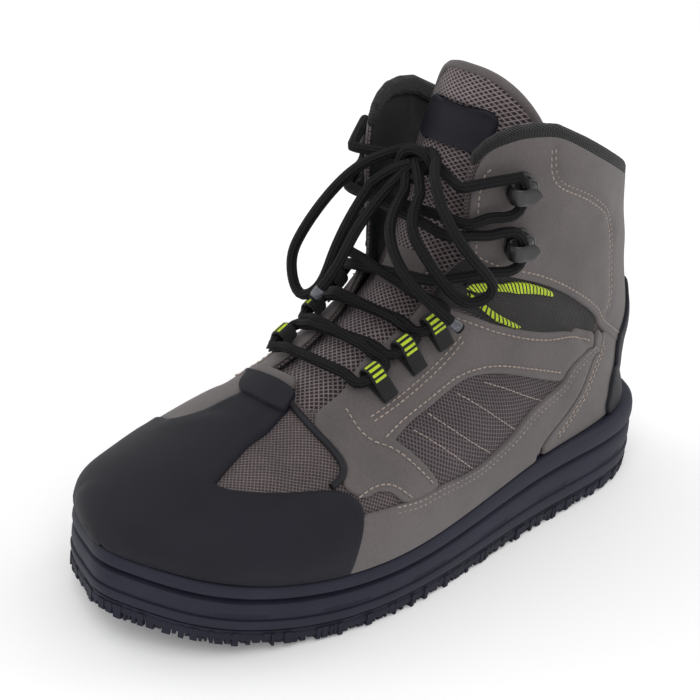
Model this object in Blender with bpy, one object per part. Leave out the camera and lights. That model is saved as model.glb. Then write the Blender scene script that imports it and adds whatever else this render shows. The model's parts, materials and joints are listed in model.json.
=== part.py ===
import bpy
import numpy as np
from mathutils import Matrix, Vector
from mathutils.geometry import delaunay_2d_cdt
from mathutils.kdtree import KDTree

# Left wading boot, metres, toe towards -Y, outer side towards +X, standing on Z = 0

SOLE_LENGTH = 0.312
SOLE_WIDTH = 0.121
LATERAL_SHARE = 0.484
RAND_HEIGHT_FORE = 0.0262
RAND_HEIGHT_HEEL = 0.034
RISE_START = 0.30
RISE_END = 0.75
TOE_SPRING = 0.014
SPRING_END = 0.28
FEATHER_INSET = 0.0034
HEEL_INSET = 0.0095
HEEL_INSET_START = 0.55
HEEL_INSET_END = 0.95
COLLAR_HEIGHT = 0.186
SEAT_GAP = 0.0003

UPPER_WALL = 0.0022
OVERLAY_GAP = 0.00045
OVERLAY_WALL = 0.00125
CAP_WALL = 0.0017
COUNTER_LIFT = 0.0021
COUNTER_WALL = 0.0011
BINDING_INSIDE = 0.0042
BINDING_OUTSIDE = 0.0016
STEP_A = 0.0375
STEP_HEEL = 0.0230
HEEL_MARK = 0.60
STEP_B = 1 / 12
PLANE_A = 0.40
PLANE_B = 0.16
EDGE_LEAST = 0.0014
CDT_NEAR = 0.000001
ON_SEAM = 0.000001
LOCKED = 3
MERGE = 0.00002
TINY = 0.000000001
LEAST_WIDTH = 1.004
SCAN_POINTS = 4001
FINE_POINTS = 40

SOLE_STATIONS = 28
LUG_HEIGHT = 0.0052
PLATE_THICK = 0.0016
PLATE_INSET = 0.0012
LUG_RADIUS = 0.0108
LUG_PITCH_X = 0.0200
LUG_PITCH_Y = 0.0216
LUG_TAPER = 0.86
LUG_ROW_LEAN = 0.35
LUG_EDGE = 0.0011
LUG_LEAST = 0.000045
LUG_SIDES = 5
LUG_TURN = 0.55
LUG_CUTS = 6

INSOLE_INSET = 0.0086
INSOLE_HEEL_INSET = 0.0156
INSOLE_THICK = 0.0032
INSOLE_STATIONS = 20

TONGUE_WALL = 0.0034
TONGUE_MARKS = np.linspace(0, 1, 16), np.linspace(-1, 1, 9)
TONGUE_PLANE = (0.25, 0.03)
TONGUE_TOP_FALL = 0.115
TONGUE_TOP_STEPS = 13

BADGE_HALF_WIDE = 0.0152
BADGE_HALF_HIGH = 0.0096
BADGE_CORNER = 0.0045
BADGE_THICK = 0.0014
BADGE_LIFT = 0.0009
BADGE_AT = 0.845
BADGE_STEPS = 4

DRAIN_RADIUS = 0.0032
DRAIN_COVER = 0.0005
GROMMET_RADIUS = 0.0060
GROMMET_THICK = 0.0011
DRAIN_SIDES = 12

WEB_WIDTH = 0.0062
WEB_THICK = 0.0011
WEB_TAIL = 0.0070
WEB_WRAP = 0.62
WEB_FALL = 0.62
WEB_REST = 1.4
EYE_RADIUS = 0.0030
EYE_FORWARD = 0.0048
EYE_STEPS = 10
TRIM_LIFT = 0.0003
HOOK_DISC = 0.0066
HOOK_DISC_THICK = 0.0012
HOOK_WIDTH = 0.0070
HOOK_TAIL = 0.0062
HOOK_THICK = 0.0016
HOOK_TIP = 0.0012
HOOK_WRAP = 0.55
HOOK_TOP = 0.55
HOOK_SIDES = 16

LACE_RADIUS = 0.0022
LACE_SIDES = 6
LACE_STEP = 0.0060
CORD_STEP = 0.0096
LACE_CLEAR = 0.0017
CROSS_LIFT = 0.0022
CROSS_POWER = 4
CROSS_SHARES = (0.10, 0.90)
BAR_SHARES = (0.44, 0.90)
KNOT_SHARES = (0.05, 0.85)
PULLS = 400
DRAPE_LEAST = 9
KNOT_LEAST = 24
DRAPE_START = np.array([0, -0.022, 0.010])
TONGUE_SHOWN = 0.6
THROAT_EDGE = 0.140
FRONT_EDGE = 0.320
FRONT_START = 0.42
FRONT_GRID = (140, 30)
TONGUE_GRID = (160, 41)
EYE_REACH = 0.0072
KNOT_T = 0.745
KNOT_OUT = 0.0075
KNOT_SIDE = 0.0040
KNOT_WIDE = 7.0
KNOT_HIGH = 5.5
KNOT_NEAR = 6.0
KNOT_PITCH = 6.0
KNOT_POINTS = 11
MILLIMETRE = 0.001

PULL_WIDTH = 0.0110
PULL_THICK = 0.0012
PULL_REACH = 0.0056
PULL_HEIGHT = 0.0200
PULL_LIFT = 0.0003
PULL_STEPS = 8
PULL_AT = 0.868

BINDING_FOOT = 0.0022
BINDING_RISE = 0.0150
BINDING_STEPS = 20

# station: share of the sole length from the toe; lateral, medial: share of each half width
OUTLINE = np.array([
    (0.000, 0.000, 0.000),
    (0.015, 0.210, 0.190),
    (0.060, 0.550, 0.620),
    (0.130, 0.775, 0.850),
    (0.220, 0.920, 0.985),
    (0.320, 1.000, 0.990),
    (0.420, 0.985, 0.880),
    (0.550, 0.900, 0.720),
    (0.680, 0.820, 0.660),
    (0.800, 0.775, 0.690),
    (0.900, 0.670, 0.660),
    (0.965, 0.445, 0.440),
    (1.000, 0.000, 0.000),
])

# forward: share of the sole length from its middle; height: share of the collar height;
# edge: feather station up to 1, back rise above 1; lateral, medial: share of the sole width;
# front_l, front_m, rear: fullness of the section on each side and behind its widest point
ROWS = np.array([
    (-0.4891, 0.215, 0.000, 0.000, 0.000, 2.30, 2.20, 2.20),
    (-0.4808, 0.264, 0.010, 0.107, 0.107, 2.30, 2.00, 2.20),
    (-0.4551, 0.300, 0.040, 0.223, 0.237, 2.30, 1.90, 2.20),
    (-0.4071, 0.326, 0.095, 0.339, 0.364, 2.30, 1.80, 2.20),
    (-0.3365, 0.350, 0.170, 0.417, 0.450, 2.30, 1.75, 2.20),
    (-0.2564, 0.391, 0.260, 0.463, 0.488, 2.20, 1.70, 2.20),
    (-0.1795, 0.441, 0.370, 0.471, 0.458, 2.10, 1.70, 2.10),
    (-0.1090, 0.503, 0.500, 0.442, 0.398, 2.00, 1.80, 2.00),
    (-0.0550, 0.572, 0.660, 0.392, 0.362, 2.00, 1.90, 2.00),
    (-0.0390, 0.650, 0.850, 0.350, 0.336, 2.20, 2.10, 2.00),
    (-0.0400, 0.718, 0.965, 0.326, 0.320, 2.40, 2.30, 1.95),
    (-0.0450, 0.778, 1.080, 0.318, 0.316, 2.60, 2.50, 1.90),
    (-0.0490, 0.860, 1.330, 0.318, 0.316, 2.70, 2.70, 1.90),
    (-0.0470, 0.970, 1.640, 0.326, 0.324, 2.80, 2.80, 1.90),
    (-0.0390, 1.120, 2.000, 0.338, 0.336, 2.80, 2.80, 1.90),
])

# rise: share of the back line; forward: share of the sole length; height: share of the collar height
BACK = np.array([
    (0.00, 0.4695, 0.1845),
    (0.12, 0.4740, 0.2470),
    (0.35, 0.4640, 0.3760),
    (0.62, 0.4320, 0.5270),
    (0.82, 0.4090, 0.6450),
    (1.00, 0.3900, 0.8060),
])

# side profile of the sole. rise: share of the way from the plate to the rand; out: metres past the outline
SIDE = np.array([
    (0.000, -0.0016),
    (0.215, 0.0000),
    (0.245, -0.0010),
    (0.590, -0.0006),
    (0.625, -0.0026),
    (0.680, -0.0026),
    (0.715, -0.0008),
    (1.000, -0.0022),
])

# forward: share of the sole length; height: share of the collar height; half: share of the sole width;
# bow: how far the edges lie back, share of the sole width
TONGUE = np.array([
    (-0.2690, 0.362, 0.170, 0.050),
    (-0.2050, 0.397, 0.200, 0.065),
    (-0.1410, 0.446, 0.215, 0.075),
    (-0.0800, 0.505, 0.210, 0.095),
    (-0.0340, 0.573, 0.198, 0.118),
    (-0.0020, 0.648, 0.205, 0.155),
    (0.0220, 0.735, 0.225, 0.170),
    (0.0400, 0.820, 0.242, 0.180),
    (0.0560, 0.905, 0.258, 0.188),
    (0.0720, 0.990, 0.252, 0.196),
    (0.0840, 1.072, 0.240, 0.196),
])

# b, a of the collar line from the front edge of the shaft to the back seam
COLLAR = np.array([
    (0.172, 0.918),
    (0.198, 0.937),
    (0.230, 0.951),
    (0.280, 0.965),
    (0.344, 0.975),
    (0.407, 0.981),
    (0.520, 0.982),
    (0.700, 0.982),
    (1.000, 0.982),
])

# a, b of the slot edge from its foot to the collar
SLOT = np.array([
    (0.400, 0.110),
    (0.404, 0.185),
    (0.440, 0.195),
    (0.480, 0.152),
    (0.526, 0.145),
    (0.580, 0.145),
    (0.622, 0.132),
    (0.700, 0.150),
    (0.772, 0.164),
    (0.850, 0.162),
    (0.918, 0.172),
])

# a, b outlines of the pieces laid on the upper; b runs past 1 around the back seam
TOE_CAP = np.array([
    (0.355, 0.975), (0.357, 0.876), (0.366, 0.774), (0.372, 0.703), (0.371, 0.643), (0.361, 0.591),
    (0.346, 0.551), (0.308, 0.489), (0.274, 0.410), (0.256, 0.337), (0.251, 0.277), (0.275, 0.223),
    (0.313, 0.162), (0.344, 0.141), (0.368, 0.121), (0.384, 0.108), (0.393, 0.085), (0.395, 0.000),
    (0.393, -0.120), (0.384, -0.165), (0.350, -0.250), (0.320, -0.360), (0.325, -0.500),
    (0.345, -0.700), (0.362, -0.860), (0.365, -0.975),
])
QUARTER_FRONT_LATERAL = np.array([
    (0.403, 0.215), (0.390, 0.260), (0.387, 0.318), (0.387, 0.403), (0.385, 0.478), (0.379, 0.520),
    (0.369, 0.556), (0.370, 0.590), (0.379, 0.637), (0.384, 0.643), (0.397, 0.638), (0.411, 0.663),
    (0.420, 0.710), (0.425, 0.745), (0.444, 0.757), (0.466, 0.758),
])
QUARTER_FRONT_MEDIAL = np.array([
    (0.403, 0.205), (0.390, 0.192), (0.356, 0.268), (0.327, 0.366), (0.331, 0.500), (0.345, 0.640),
    (0.353, 0.700), (0.400, 0.730), (0.444, 0.757), (0.466, 0.758),
])
QUARTER_REST = np.array([
    (0.464, 0.712), (0.458, 0.628), (0.451, 0.561), (0.443, 0.490), (0.477, 0.458), (0.506, 0.448),
    (0.541, 0.434), (0.566, 0.435), (0.588, 0.461), (0.610, 0.520), (0.630, 0.602), (0.646, 0.666),
    (0.668, 0.640), (0.736, 0.620), (0.784, 0.616), (0.768, 0.536), (0.708, 0.486), (0.672, 0.408),
    (0.650, 0.333), (0.640, 0.276), (0.627, 0.212), (0.620, 0.145), (0.580, 0.158), (0.526, 0.158),
    (0.480, 0.165), (0.440, 0.209), (0.410, 0.212),
])
BAND_FRONT_LATERAL = np.array([(0.359, 0.975), (0.361, 0.876), (0.371, 0.774), (0.377, 0.722)])
BAND_FRONT_MEDIAL = np.array([(0.370, 0.975), (0.367, 0.860), (0.357, 0.760), (0.356, 0.716)])
BAND_REST = np.array([
    (0.400, 0.744), (0.444, 0.771), (0.472, 0.779), (0.511, 0.807), (0.538, 0.800), (0.568, 0.767),
    (0.599, 0.719), (0.642, 0.687), (0.668, 0.655), (0.736, 0.636), (0.788, 0.633), (0.796, 0.645),
    (0.794, 0.658), (0.732, 0.664), (0.677, 0.722), (0.638, 0.783), (0.611, 0.839), (0.585, 0.910),
    (0.573, 0.975),
])
HEEL_HALF = np.array([
    (0.768, 1.000), (0.762, 0.984), (0.750, 0.974), (0.700, 0.975), (0.581, 0.975), (0.590, 0.921), (0.617, 0.848),
    (0.644, 0.793), (0.682, 0.733), (0.736, 0.676), (0.797, 0.670), (0.801, 0.700), (0.801, 1.000),
])
COUNTER_HALF = np.array([
    (0.768, 1.000), (0.762, 0.984), (0.750, 0.974), (0.700, 0.975), (0.655, 0.975), (0.662, 0.940), (0.677, 0.900),
    (0.723, 0.815), (0.760, 0.785), (0.790, 0.775), (0.830, 0.790), (0.870, 0.820), (0.895, 0.870),
    (0.902, 1.000),
])
SHAFT_HALF = np.array([
    (0.808, 1.000), (0.808, 0.640), (0.817, 0.612), (0.821, 0.555), (0.820, 0.467), (0.806, 0.354),
    (0.786, 0.271), (0.774, 0.178), (0.850, 0.176), (0.914, 0.186), (0.934, 0.208), (0.948, 0.238),
    (0.962, 0.286), (0.972, 0.346), (0.978, 0.407), (0.979, 0.520), (0.979, 0.700), (0.979, 1.000),
])
ELASTIC_UPPER = np.array([
    (0.686, 0.200), (0.700, 0.196), (0.760, 0.262), (0.794, 0.340), (0.808, 0.425), (0.799, 0.432),
    (0.780, 0.360), (0.740, 0.288), (0.696, 0.240),
])
ELASTIC_LOWER = np.array([
    (0.682, 0.214), (0.688, 0.240), (0.678, 0.300), (0.680, 0.352), (0.684, 0.405), (0.673, 0.398),
    (0.663, 0.345), (0.660, 0.300), (0.668, 0.240),
])

# a, b of the lace loops, hooks and drains
WEB_LATERAL = [(0.474, 0.285), (0.526, 0.262), (0.580, 0.242)]
WEB_MEDIAL = [(0.474, -0.285), (0.526, -0.262), (0.580, -0.242)]
HOOK_AT = [(0.850, 0.292), (0.924, 0.290)]
DRAINS = [(0.492, -0.885), (0.548, -0.885)]

COLOURS = {
    "mesh": (0.105, 0.078, 0.072, 1),
    "taupe": (0.158, 0.132, 0.122, 1),
    "rubber": (0.022, 0.023, 0.034, 1),
    "sole": (0.030, 0.031, 0.048, 1),
    "webbing": (0.02, 0.02, 0.022, 1),
    "elastic": (0.55, 0.78, 0.03, 1),
    "lace": (0.012, 0.012, 0.013, 1),
    "metal": (0.35, 0.34, 0.33, 1),
    "hook": (0.015, 0.015, 0.017, 1),
    "foam": (0.03, 0.03, 0.034, 1),
}
ROUGHNESS = {"metal": 0.35, "hook": 0.3, "rubber": 0.6, "sole": 0.65}
CLOTH_ROUGHNESS = 0.85

LATERAL = SOLE_WIDTH * LATERAL_SHARE
MEDIAL = SOLE_WIDTH - LATERAL
SAMPLES = 200
NUDGE = 0.0015


def slopes(x, y):
    step = np.diff(x)
    rate = np.diff(y) / step
    slope = np.zeros(len(x))
    slope[0], slope[-1] = rate[0], rate[-1]
    before = 2 * step[1:] + step[:-1]
    after = step[1:] + 2 * step[:-1]
    same = rate[:-1] * rate[1:] > 0
    mean = np.where(same, before / np.where(same, rate[:-1], 1) + after / np.where(same, rate[1:], 1), 1)
    slope[1:-1] = np.where(same, (before + after) / mean, 0)
    return slope


def level(x, y, at):
    """Smooth curve through the points that never overshoots them."""
    at = np.clip(at, x[0], x[-1])
    slope = slopes(x, y)
    i = np.clip(np.searchsorted(x, at, side="right") - 1, 0, len(x) - 2)
    step = x[i + 1] - x[i]
    t = (at - x[i]) / step
    return ((2 * t + 1) * (t - 1) ** 2 * y[i] + t * (t - 1) ** 2 * step * slope[i]
            + t * t * (3 - 2 * t) * y[i + 1] + t * t * (t - 1) * step * slope[i + 1])


def natural(x, y, at):
    """Natural spline; y may have several columns."""
    n = len(x)
    step = np.diff(x)
    matrix = np.eye(n)
    right = np.zeros((n,) + y.shape[1:])
    for i in range(1, n - 1):
        matrix[i, i - 1], matrix[i, i], matrix[i, i + 1] = step[i - 1], 2 * (step[i - 1] + step[i]), step[i]
        right[i] = 3 * ((y[i + 1] - y[i]) / step[i] - (y[i] - y[i - 1]) / step[i - 1])
    bend = np.linalg.solve(matrix, right)
    at = np.clip(at, x[0], x[-1])
    i = np.clip(np.searchsorted(x, at, side="right") - 1, 0, n - 2)
    t, gap = at - x[i], step[i]
    if y.ndim > 1:
        t, gap = t[..., None], gap[..., None]
    slope = (y[i + 1] - y[i]) / gap - gap * (2 * bend[i] + bend[i + 1]) / 3
    return y[i] + slope * t + bend[i] * t * t + (bend[i + 1] - bend[i]) / (3 * gap) * t ** 3


def turn(share):
    return np.arccos(np.clip(1 - 2 * np.asarray(share, float), -1, 1))


def ease(low, high, at):
    t = np.clip((np.asarray(at, float) - low) / (high - low), 0, 1)
    return t * t * (3 - 2 * t)


def half_width(share, side):
    both = natural(turn(OUTLINE[:, 0]), OUTLINE[:, 1:], turn(share))
    return np.where(np.asarray(side) > 0, both[..., 0] * LATERAL, both[..., 1] * MEDIAL)


def spring(share):
    return TOE_SPRING * np.clip((SPRING_END - np.asarray(share)) / SPRING_END, 0, 1) ** 2


def rand_height(share):
    rise = RAND_HEIGHT_HEEL - RAND_HEIGHT_FORE
    return RAND_HEIGHT_FORE + rise * ease(RISE_START, RISE_END, share) + spring(share)


def feather(share, side, fore=FEATHER_INSET, heel=HEEL_INSET):
    """Line where the upper meets the sole, set in from the sole outline."""
    inset = fore + (heel - fore) * ease(HEEL_INSET_START, HEEL_INSET_END, share)
    full = np.where(np.asarray(side) > 0, LATERAL, MEDIAL)
    x = half_width(share, side) * (1 - inset / full)
    y = SOLE_LENGTH * (share - 0.5) + fore * (1 - share) - heel * share
    return np.stack([x, y, rand_height(share) + SEAT_GAP], -1)


ROWS[0, :2] = feather(0.0, 1)[1:] / (SOLE_LENGTH, COLLAR_HEIGHT)
KNOTS = np.arange(len(ROWS)) / (len(ROWS) - 1)
EDGE = np.where(ROWS[:, 2] <= 1, turn(np.minimum(ROWS[:, 2], 1)) / np.pi, ROWS[:, 2])
SCAN = np.linspace(0, 1, SCAN_POINTS)
BACK_START = float(np.interp(1.0, level(KNOTS, EDGE, SCAN), SCAN))


def form(a, b):
    """Last shape. a runs from the toe tip to the collar, b from the medial edge to the lateral one.
    Past 1, b carries on around the back seam."""
    a, b = np.broadcast_arrays(np.asarray(a, float), np.asarray(b, float))
    shape = a.shape
    a, b = a.ravel(), b.ravel()
    b = np.where(b > 1 + ON_SEAM, b - 2, b)
    side = np.where(b >= 0, 1, -1)
    row = natural(KNOTS, ROWS, a)
    e = level(KNOTS, EDGE, a)
    edge = np.where(e <= 1, (1 - np.cos(np.pi * np.clip(e, 0, 1))) / 2, e)
    end = feather(np.clip(edge, 0, 1), side)
    back = natural(BACK[:, 0], BACK[:, 1:], np.clip(edge - 1, 0, 1))
    on_back = edge > 1
    end_x = np.where(on_back, 0, end[:, 0])
    end_y = np.where(on_back, back[:, 0] * SOLE_LENGTH, end[:, 1])
    end_z = np.where(on_back, back[:, 1] * COLLAR_HEIGHT, end[:, 2])
    wide = np.where(side > 0, row[:, 3], row[:, 4]) * SOLE_WIDTH
    wide = np.maximum(wide, end_x * LEAST_WIDTH + TINY)
    front = np.where(side > 0, row[:, 5], row[:, 6])
    stop = np.pi - np.arcsin(np.clip(end_x / wide, 0, 1) ** (row[:, 7] / 2))
    psi = np.linspace(0, 1, SAMPLES) * stop[:, None]
    power = np.where(psi < np.pi / 2, front[:, None], row[:, 7][:, None])
    x = wide[:, None] * np.abs(np.sin(psi)) ** (2 / power)
    x[:, 0] = 0
    way = (1 - np.cos(psi)) / (1 - np.cos(stop))[:, None]
    top_y, top_z = row[:, 0] * SOLE_LENGTH, row[:, 1] * COLLAR_HEIGHT
    y = top_y[:, None] + (end_y - top_y)[:, None] * way
    z = top_z[:, None] + (end_z - top_z)[:, None] * way
    step = np.sqrt(np.diff(x) ** 2 + np.diff(y) ** 2 + np.diff(z) ** 2)
    run = np.concatenate([np.zeros((len(a), 1)), np.cumsum(step, 1)], 1)
    want = np.abs(b) * run[:, -1]
    k = np.clip((run < want[:, None]).sum(1) - 1, 0, SAMPLES - 2)
    r = np.arange(len(a))
    part = (want - run[r, k]) / np.maximum(run[r, k + 1] - run[r, k], 1e-12)
    out = [v[r, k] + (v[r, k + 1] - v[r, k]) * part for v in (x, y, z)]
    return np.stack([out[0] * side, out[1], out[2]], -1).reshape(shape + (3,))


def grid_marks():
    """Grid lines of the upper: closer together where the feather line turns round the heel."""
    low, high = HEEL_MARK, BACK_START
    near = max(1, round((high - low) / STEP_HEEL))
    before = np.linspace(0, low, round(low / STEP_A) + 1)
    around_heel = np.linspace(low, high, near + 1)[1:]
    after = np.arange(high, 1, STEP_A)[1:]
    return np.concatenate([before, around_heel, after]), np.linspace(-1, 2, round(3 / STEP_B) + 1)


MARKS = grid_marks()
HALF_MARKS = (MARKS[0], MARKS[1][MARKS[1] <= 1 + TINY])


def merge(points):
    """Index of the first point at each place."""
    tree = KDTree(len(points))
    for k, p in enumerate(points):
        tree.insert(p, k)
    tree.balance()
    return np.array([min(index for _, index, _ in tree.find_range(p, MERGE)) for p in points])


def leans_back(b):
    """Whether the cell that starts at b is cut along its other diagonal, so both halves mirror each other."""
    b = np.asarray(b)
    return (b < -ON_SEAM) | (b > 1 - ON_SEAM)


def facet_grid(surface, marks):
    """Points and normals of a surface on its grid lines, joined along the back seam and at the toe tip."""
    points = surface(marks[0][:, None], marks[1][None, :])
    rows, columns = points.shape[:2]
    flat = points.reshape(-1, 3)
    same = merge(flat)
    total = np.zeros_like(flat)
    for i in range(rows - 1):
        for j in range(columns - 1):
            k = i * columns + j
            faces = (k, k + columns, k + 1), (k + columns, k + columns + 1, k + 1)
            if leans_back(marks[1][j]):
                faces = (k, k + columns, k + columns + 1), (k, k + columns + 1, k + 1)
            for face in faces:
                p, q, r = (flat[n] for n in face)
                up = np.cross(r - p, q - p)
                for n in face:
                    total[same[n]] += up
    total = total[same]
    return points, (total / np.linalg.norm(total, axis=1, keepdims=True)).reshape(points.shape)


def facet(grid, marks, a, b):
    """Value on the flat facets between the grid lines."""
    a, b = np.broadcast_arrays(np.asarray(a, float), np.asarray(b, float))
    i = np.clip(np.searchsorted(marks[0], a, side="right") - 1, 0, len(marks[0]) - 2)
    j = np.clip(np.searchsorted(marks[1], b, side="right") - 1, 0, len(marks[1]) - 2)
    u = ((a - marks[0][i]) / (marks[0][i + 1] - marks[0][i]))[..., None]
    v = ((b - marks[1][j]) / (marks[1][j + 1] - marks[1][j]))[..., None]
    turned = leans_back(marks[1][j])
    v = np.where(turned[..., None], 1 - v, v)
    first, last = j + turned, j + 1 - turned
    p00, p10, p01, p11 = grid[i, first], grid[i + 1, first], grid[i, last], grid[i + 1, last]
    near = p00 + u * (p10 - p00) + v * (p01 - p00)
    far = p11 + (1 - u) * (p01 - p11) + (1 - v) * (p10 - p11)
    return np.where(u + v <= 1, near, far)


def tongue(t, v):
    """Front face of the tongue. t runs from its foot to its top, v from the medial to the lateral edge."""
    t, v = np.broadcast_arrays(np.asarray(t, float), np.asarray(v, float))
    knots = np.arange(len(TONGUE)) / (len(TONGUE) - 1)
    row = natural(knots, TONGUE, t)
    after = natural(knots, TONGUE, np.minimum(t + NUDGE, 1))
    before = natural(knots, TONGUE, np.maximum(t - NUDGE, 0))
    size = np.array([SOLE_LENGTH, COLLAR_HEIGHT])
    along = (after - before)[..., :2] * size
    along /= np.linalg.norm(along, axis=-1, keepdims=True)
    lie = row[..., 3] * SOLE_WIDTH * np.abs(v) ** 2
    y = row[..., 0] * SOLE_LENGTH + along[..., 1] * lie
    z = row[..., 1] * COLLAR_HEIGHT - along[..., 0] * lie
    return np.stack([row[..., 2] * SOLE_WIDTH * v, y, z], -1)


def normal(surface, p, q):
    """Outward normals by small steps across the surface."""
    up = surface(np.clip(p + NUDGE, 0, 1), q)
    down = surface(np.clip(p - NUDGE, 0, 1), q)
    right = surface(p, q + NUDGE)
    left = surface(p, q - NUDGE)
    n = np.cross(right - left, up - down)
    size = np.linalg.norm(n, axis=-1, keepdims=True)
    return n / np.maximum(size, 1e-15)


def form_normal(a, b):
    a, b = np.broadcast_arrays(np.asarray(a, float), np.asarray(b, float))
    inside = np.where(a < BACK_START, np.clip(b, -1 + NUDGE, 1 - NUDGE), b)
    inside = np.where((a < BACK_START) & (b > 1), np.maximum(b, 1 + 2 * NUDGE), inside)
    inside = np.where((a >= BACK_START) & (b < -1 + NUDGE), b + 2, inside)
    a = np.clip(a, NUDGE, 1 - NUDGE)
    return normal(form, a, inside)


def tongue_normal(t, v):
    return normal(tongue, np.clip(t, NUDGE, 1 - NUDGE), np.asarray(v, float))


FACET_POINTS, FACET_NORMALS = facet_grid(form, HALF_MARKS)
for end in (0, -1):
    low_edge = MARKS[0] <= BACK_START + TINY
    FACET_NORMALS[low_edge, end, 2] = 0
    FACET_NORMALS[:, end] /= np.linalg.norm(FACET_NORMALS[:, end], axis=1, keepdims=True)


def sheet(a, b):
    return facet(FACET_POINTS, HALF_MARKS, a, np.where(np.asarray(b) > 1 + ON_SEAM, np.asarray(b) - 2, b))


def sheet_normal(a, b):
    return facet(FACET_NORMALS, HALF_MARKS, a, np.where(np.asarray(b) > 1 + ON_SEAM, np.asarray(b) - 2, b))


def inside_loop(points, loop):
    x, y = points[:, 0][:, None], points[:, 1][:, None]
    ax, ay = loop[:, 0], loop[:, 1]
    bx, by = np.roll(ax, -1), np.roll(ay, -1)
    across = (ay > y) != (by > y)
    hit = x < (bx - ax) * (y - ay) / np.where(by == ay, 1e-30, by - ay) + ax
    return (across & hit).sum(1) % 2 == 1


def grid_edges(loop, marks):
    """Grid points and facet edges of the cells that the loop may touch."""
    spans = []
    for k in range(2):
        low = max(0, np.searchsorted(marks[k], loop[:, k].min(), side="right") - 2)
        high = min(len(marks[k]) - 1, np.searchsorted(marks[k], loop[:, k].max()) + 1)
        spans.append(np.arange(low, high + 1))
    points, edges = [], []
    columns = len(spans[1])
    for i, row in enumerate(spans[0]):
        for j, column in enumerate(spans[1]):
            k = len(points)
            points.append((marks[0][row], marks[1][column]))
            if i:
                edges.append((k, k - columns))
            if j:
                edges.append((k, k - 1))
            if i and j < columns - 1:
                edges.append((k + 1, k - columns) if leans_back(marks[1][column]) else (k, k - columns + 1))
    return np.array(points), edges


def area(polygon):
    x, y = polygon[:, 0], polygon[:, 1]
    return float((x * np.roll(y, -1) - y * np.roll(x, -1)).sum() / 2)


def collapse(points, faces, place, rank):
    """Removes edges shorter than the least length where that keeps the region's shape."""
    faces = [tuple(f) for f in faces]
    skip = set()
    while True:
        faces_of, sides = {}, {}
        for f in faces:
            for k in range(3):
                faces_of.setdefault(f[k], []).append(f)
                pair = frozenset((f[k], f[(k + 1) % 3]))
                sides[pair] = sides.get(pair, 0) + 1
        edge = {v for pair, count in sides.items() if count == 1 for v in pair}
        short = []
        for pair in set(sides) - skip:
            u, v = sorted(pair)
            length = np.linalg.norm(place[u] - place[v])
            if length < EDGE_LEAST:
                short.append((length, u, v))
        for _, u, v in sorted(short):
            gone, kept = (u, v) if rank[u] <= rank[v] else (v, u)
            pair = frozenset((u, v))
            skip.add(pair)
            near = [{n for f in faces_of[w] for n in f} - {u, v} for w in (u, v)]
            crossing = gone in edge and kept in edge and sides[pair] == 2
            if len(near[0] & near[1]) != sides[pair] or rank[gone] == LOCKED or crossing:
                continue
            moved = [f for f in faces_of[gone] if kept not in f]
            turned = [tuple(kept if n == gone else n for n in f) for f in moved]
            if all(area(points[list(n)]) * area(points[list(o)]) > 0 for n, o in zip(turned, moved)):
                faces = [f for f in faces if gone not in f] + turned
                break
        else:
            return np.array(faces)


def triangles(loops, marks, scale, surface):
    """Triangles of a flat region with holes, cut along the same facet edges for every piece."""
    loops = [np.array(loop, float) for loop in loops]
    scale = np.array(scale)
    grid, edges = grid_edges(loops[0], marks)
    points = np.concatenate([grid] + loops)
    first = len(grid)
    for loop in loops:
        edges += [(first + k, first + (k + 1) % len(loop)) for k in range(len(loop))]
        first += len(loop)
    found = delaunay_2d_cdt([Vector(p) for p in points * scale], edges, [], 0, CDT_NEAR)
    vertices, faces = np.array([tuple(p) for p in found[0]]) / scale, np.array(found[2])
    rank = np.zeros(len(vertices))
    for k, source in enumerate(found[3]):
        if source:
            vertices[k] = points[min(source)]
            rank[k] = 2 if min(source) < len(grid) else 1
    if surface is sheet:
        rank[np.abs(np.abs(vertices[:, 1]) - 1) < ON_SEAM] = LOCKED
    middle = vertices[faces].mean(1)
    keep = inside_loop(middle, loops[0])
    for hole in loops[1:]:
        keep &= ~inside_loop(middle, hole)
    return vertices, collapse(vertices, faces[keep], surface(vertices[:, 0], vertices[:, 1]), rank)


def shell(name, loops, slot, surface, facing, low, high, marks=MARKS, scale=(PLANE_A, PLANE_B)):
    """Closed sheet between two offsets of a surface; low and high may be functions of the two shares."""
    flat, faces = triangles(loops, marks, scale, surface)
    middle = surface(flat[:, 0], flat[:, 1])
    same = merge(middle)
    side = facing(flat[:, 0], flat[:, 1])
    total = np.zeros_like(side)
    np.add.at(total, same, side)
    side = (total / np.maximum(np.linalg.norm(total, axis=1, keepdims=True), 1e-12))[same]
    inner = low(flat[:, 0], flat[:, 1]) if callable(low) else low
    outer = high(flat[:, 0], flat[:, 1]) if callable(high) else high
    bottom = middle + side * np.reshape(inner, (-1, 1))
    top = middle + side * np.reshape(outer, (-1, 1))
    if surface is sheet:
        for layer in (bottom, top):
            seat = rand_height(layer[:, 1] / SOLE_LENGTH + 0.5) + SEAT_GAP
            layer[:, 2] = np.maximum(layer[:, 2], seat)
    faces = same[faces]
    faces = faces[(faces[:, 0] != faces[:, 1]) & (faces[:, 1] != faces[:, 2]) & (faces[:, 2] != faces[:, 0])]
    up = np.cross(top[faces[:, 1]] - top[faces[:, 0]], top[faces[:, 2]] - top[faces[:, 0]])
    if (up * side[faces[:, 0]]).sum() < 0:
        faces = faces[:, ::-1]
    directed = {(f[k], f[(k + 1) % 3]) for f in faces for k in range(3)}
    rim = [(i, j) for i, j in directed if (j, i) not in directed]
    used = np.unique(faces)
    index = {v: k for k, v in enumerate(used)}
    count = len(used)
    solid = [tuple(index[v] for v in f) for f in faces]
    solid += [tuple(index[v] + count for v in f[::-1]) for f in faces]
    for i, j in rim:
        solid.append((index[j], index[i], index[i] + count))
        solid.append((index[j], index[i] + count, index[j] + count))
    return add(name, np.concatenate([top[used], bottom[used]]), solid, slot)


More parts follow.
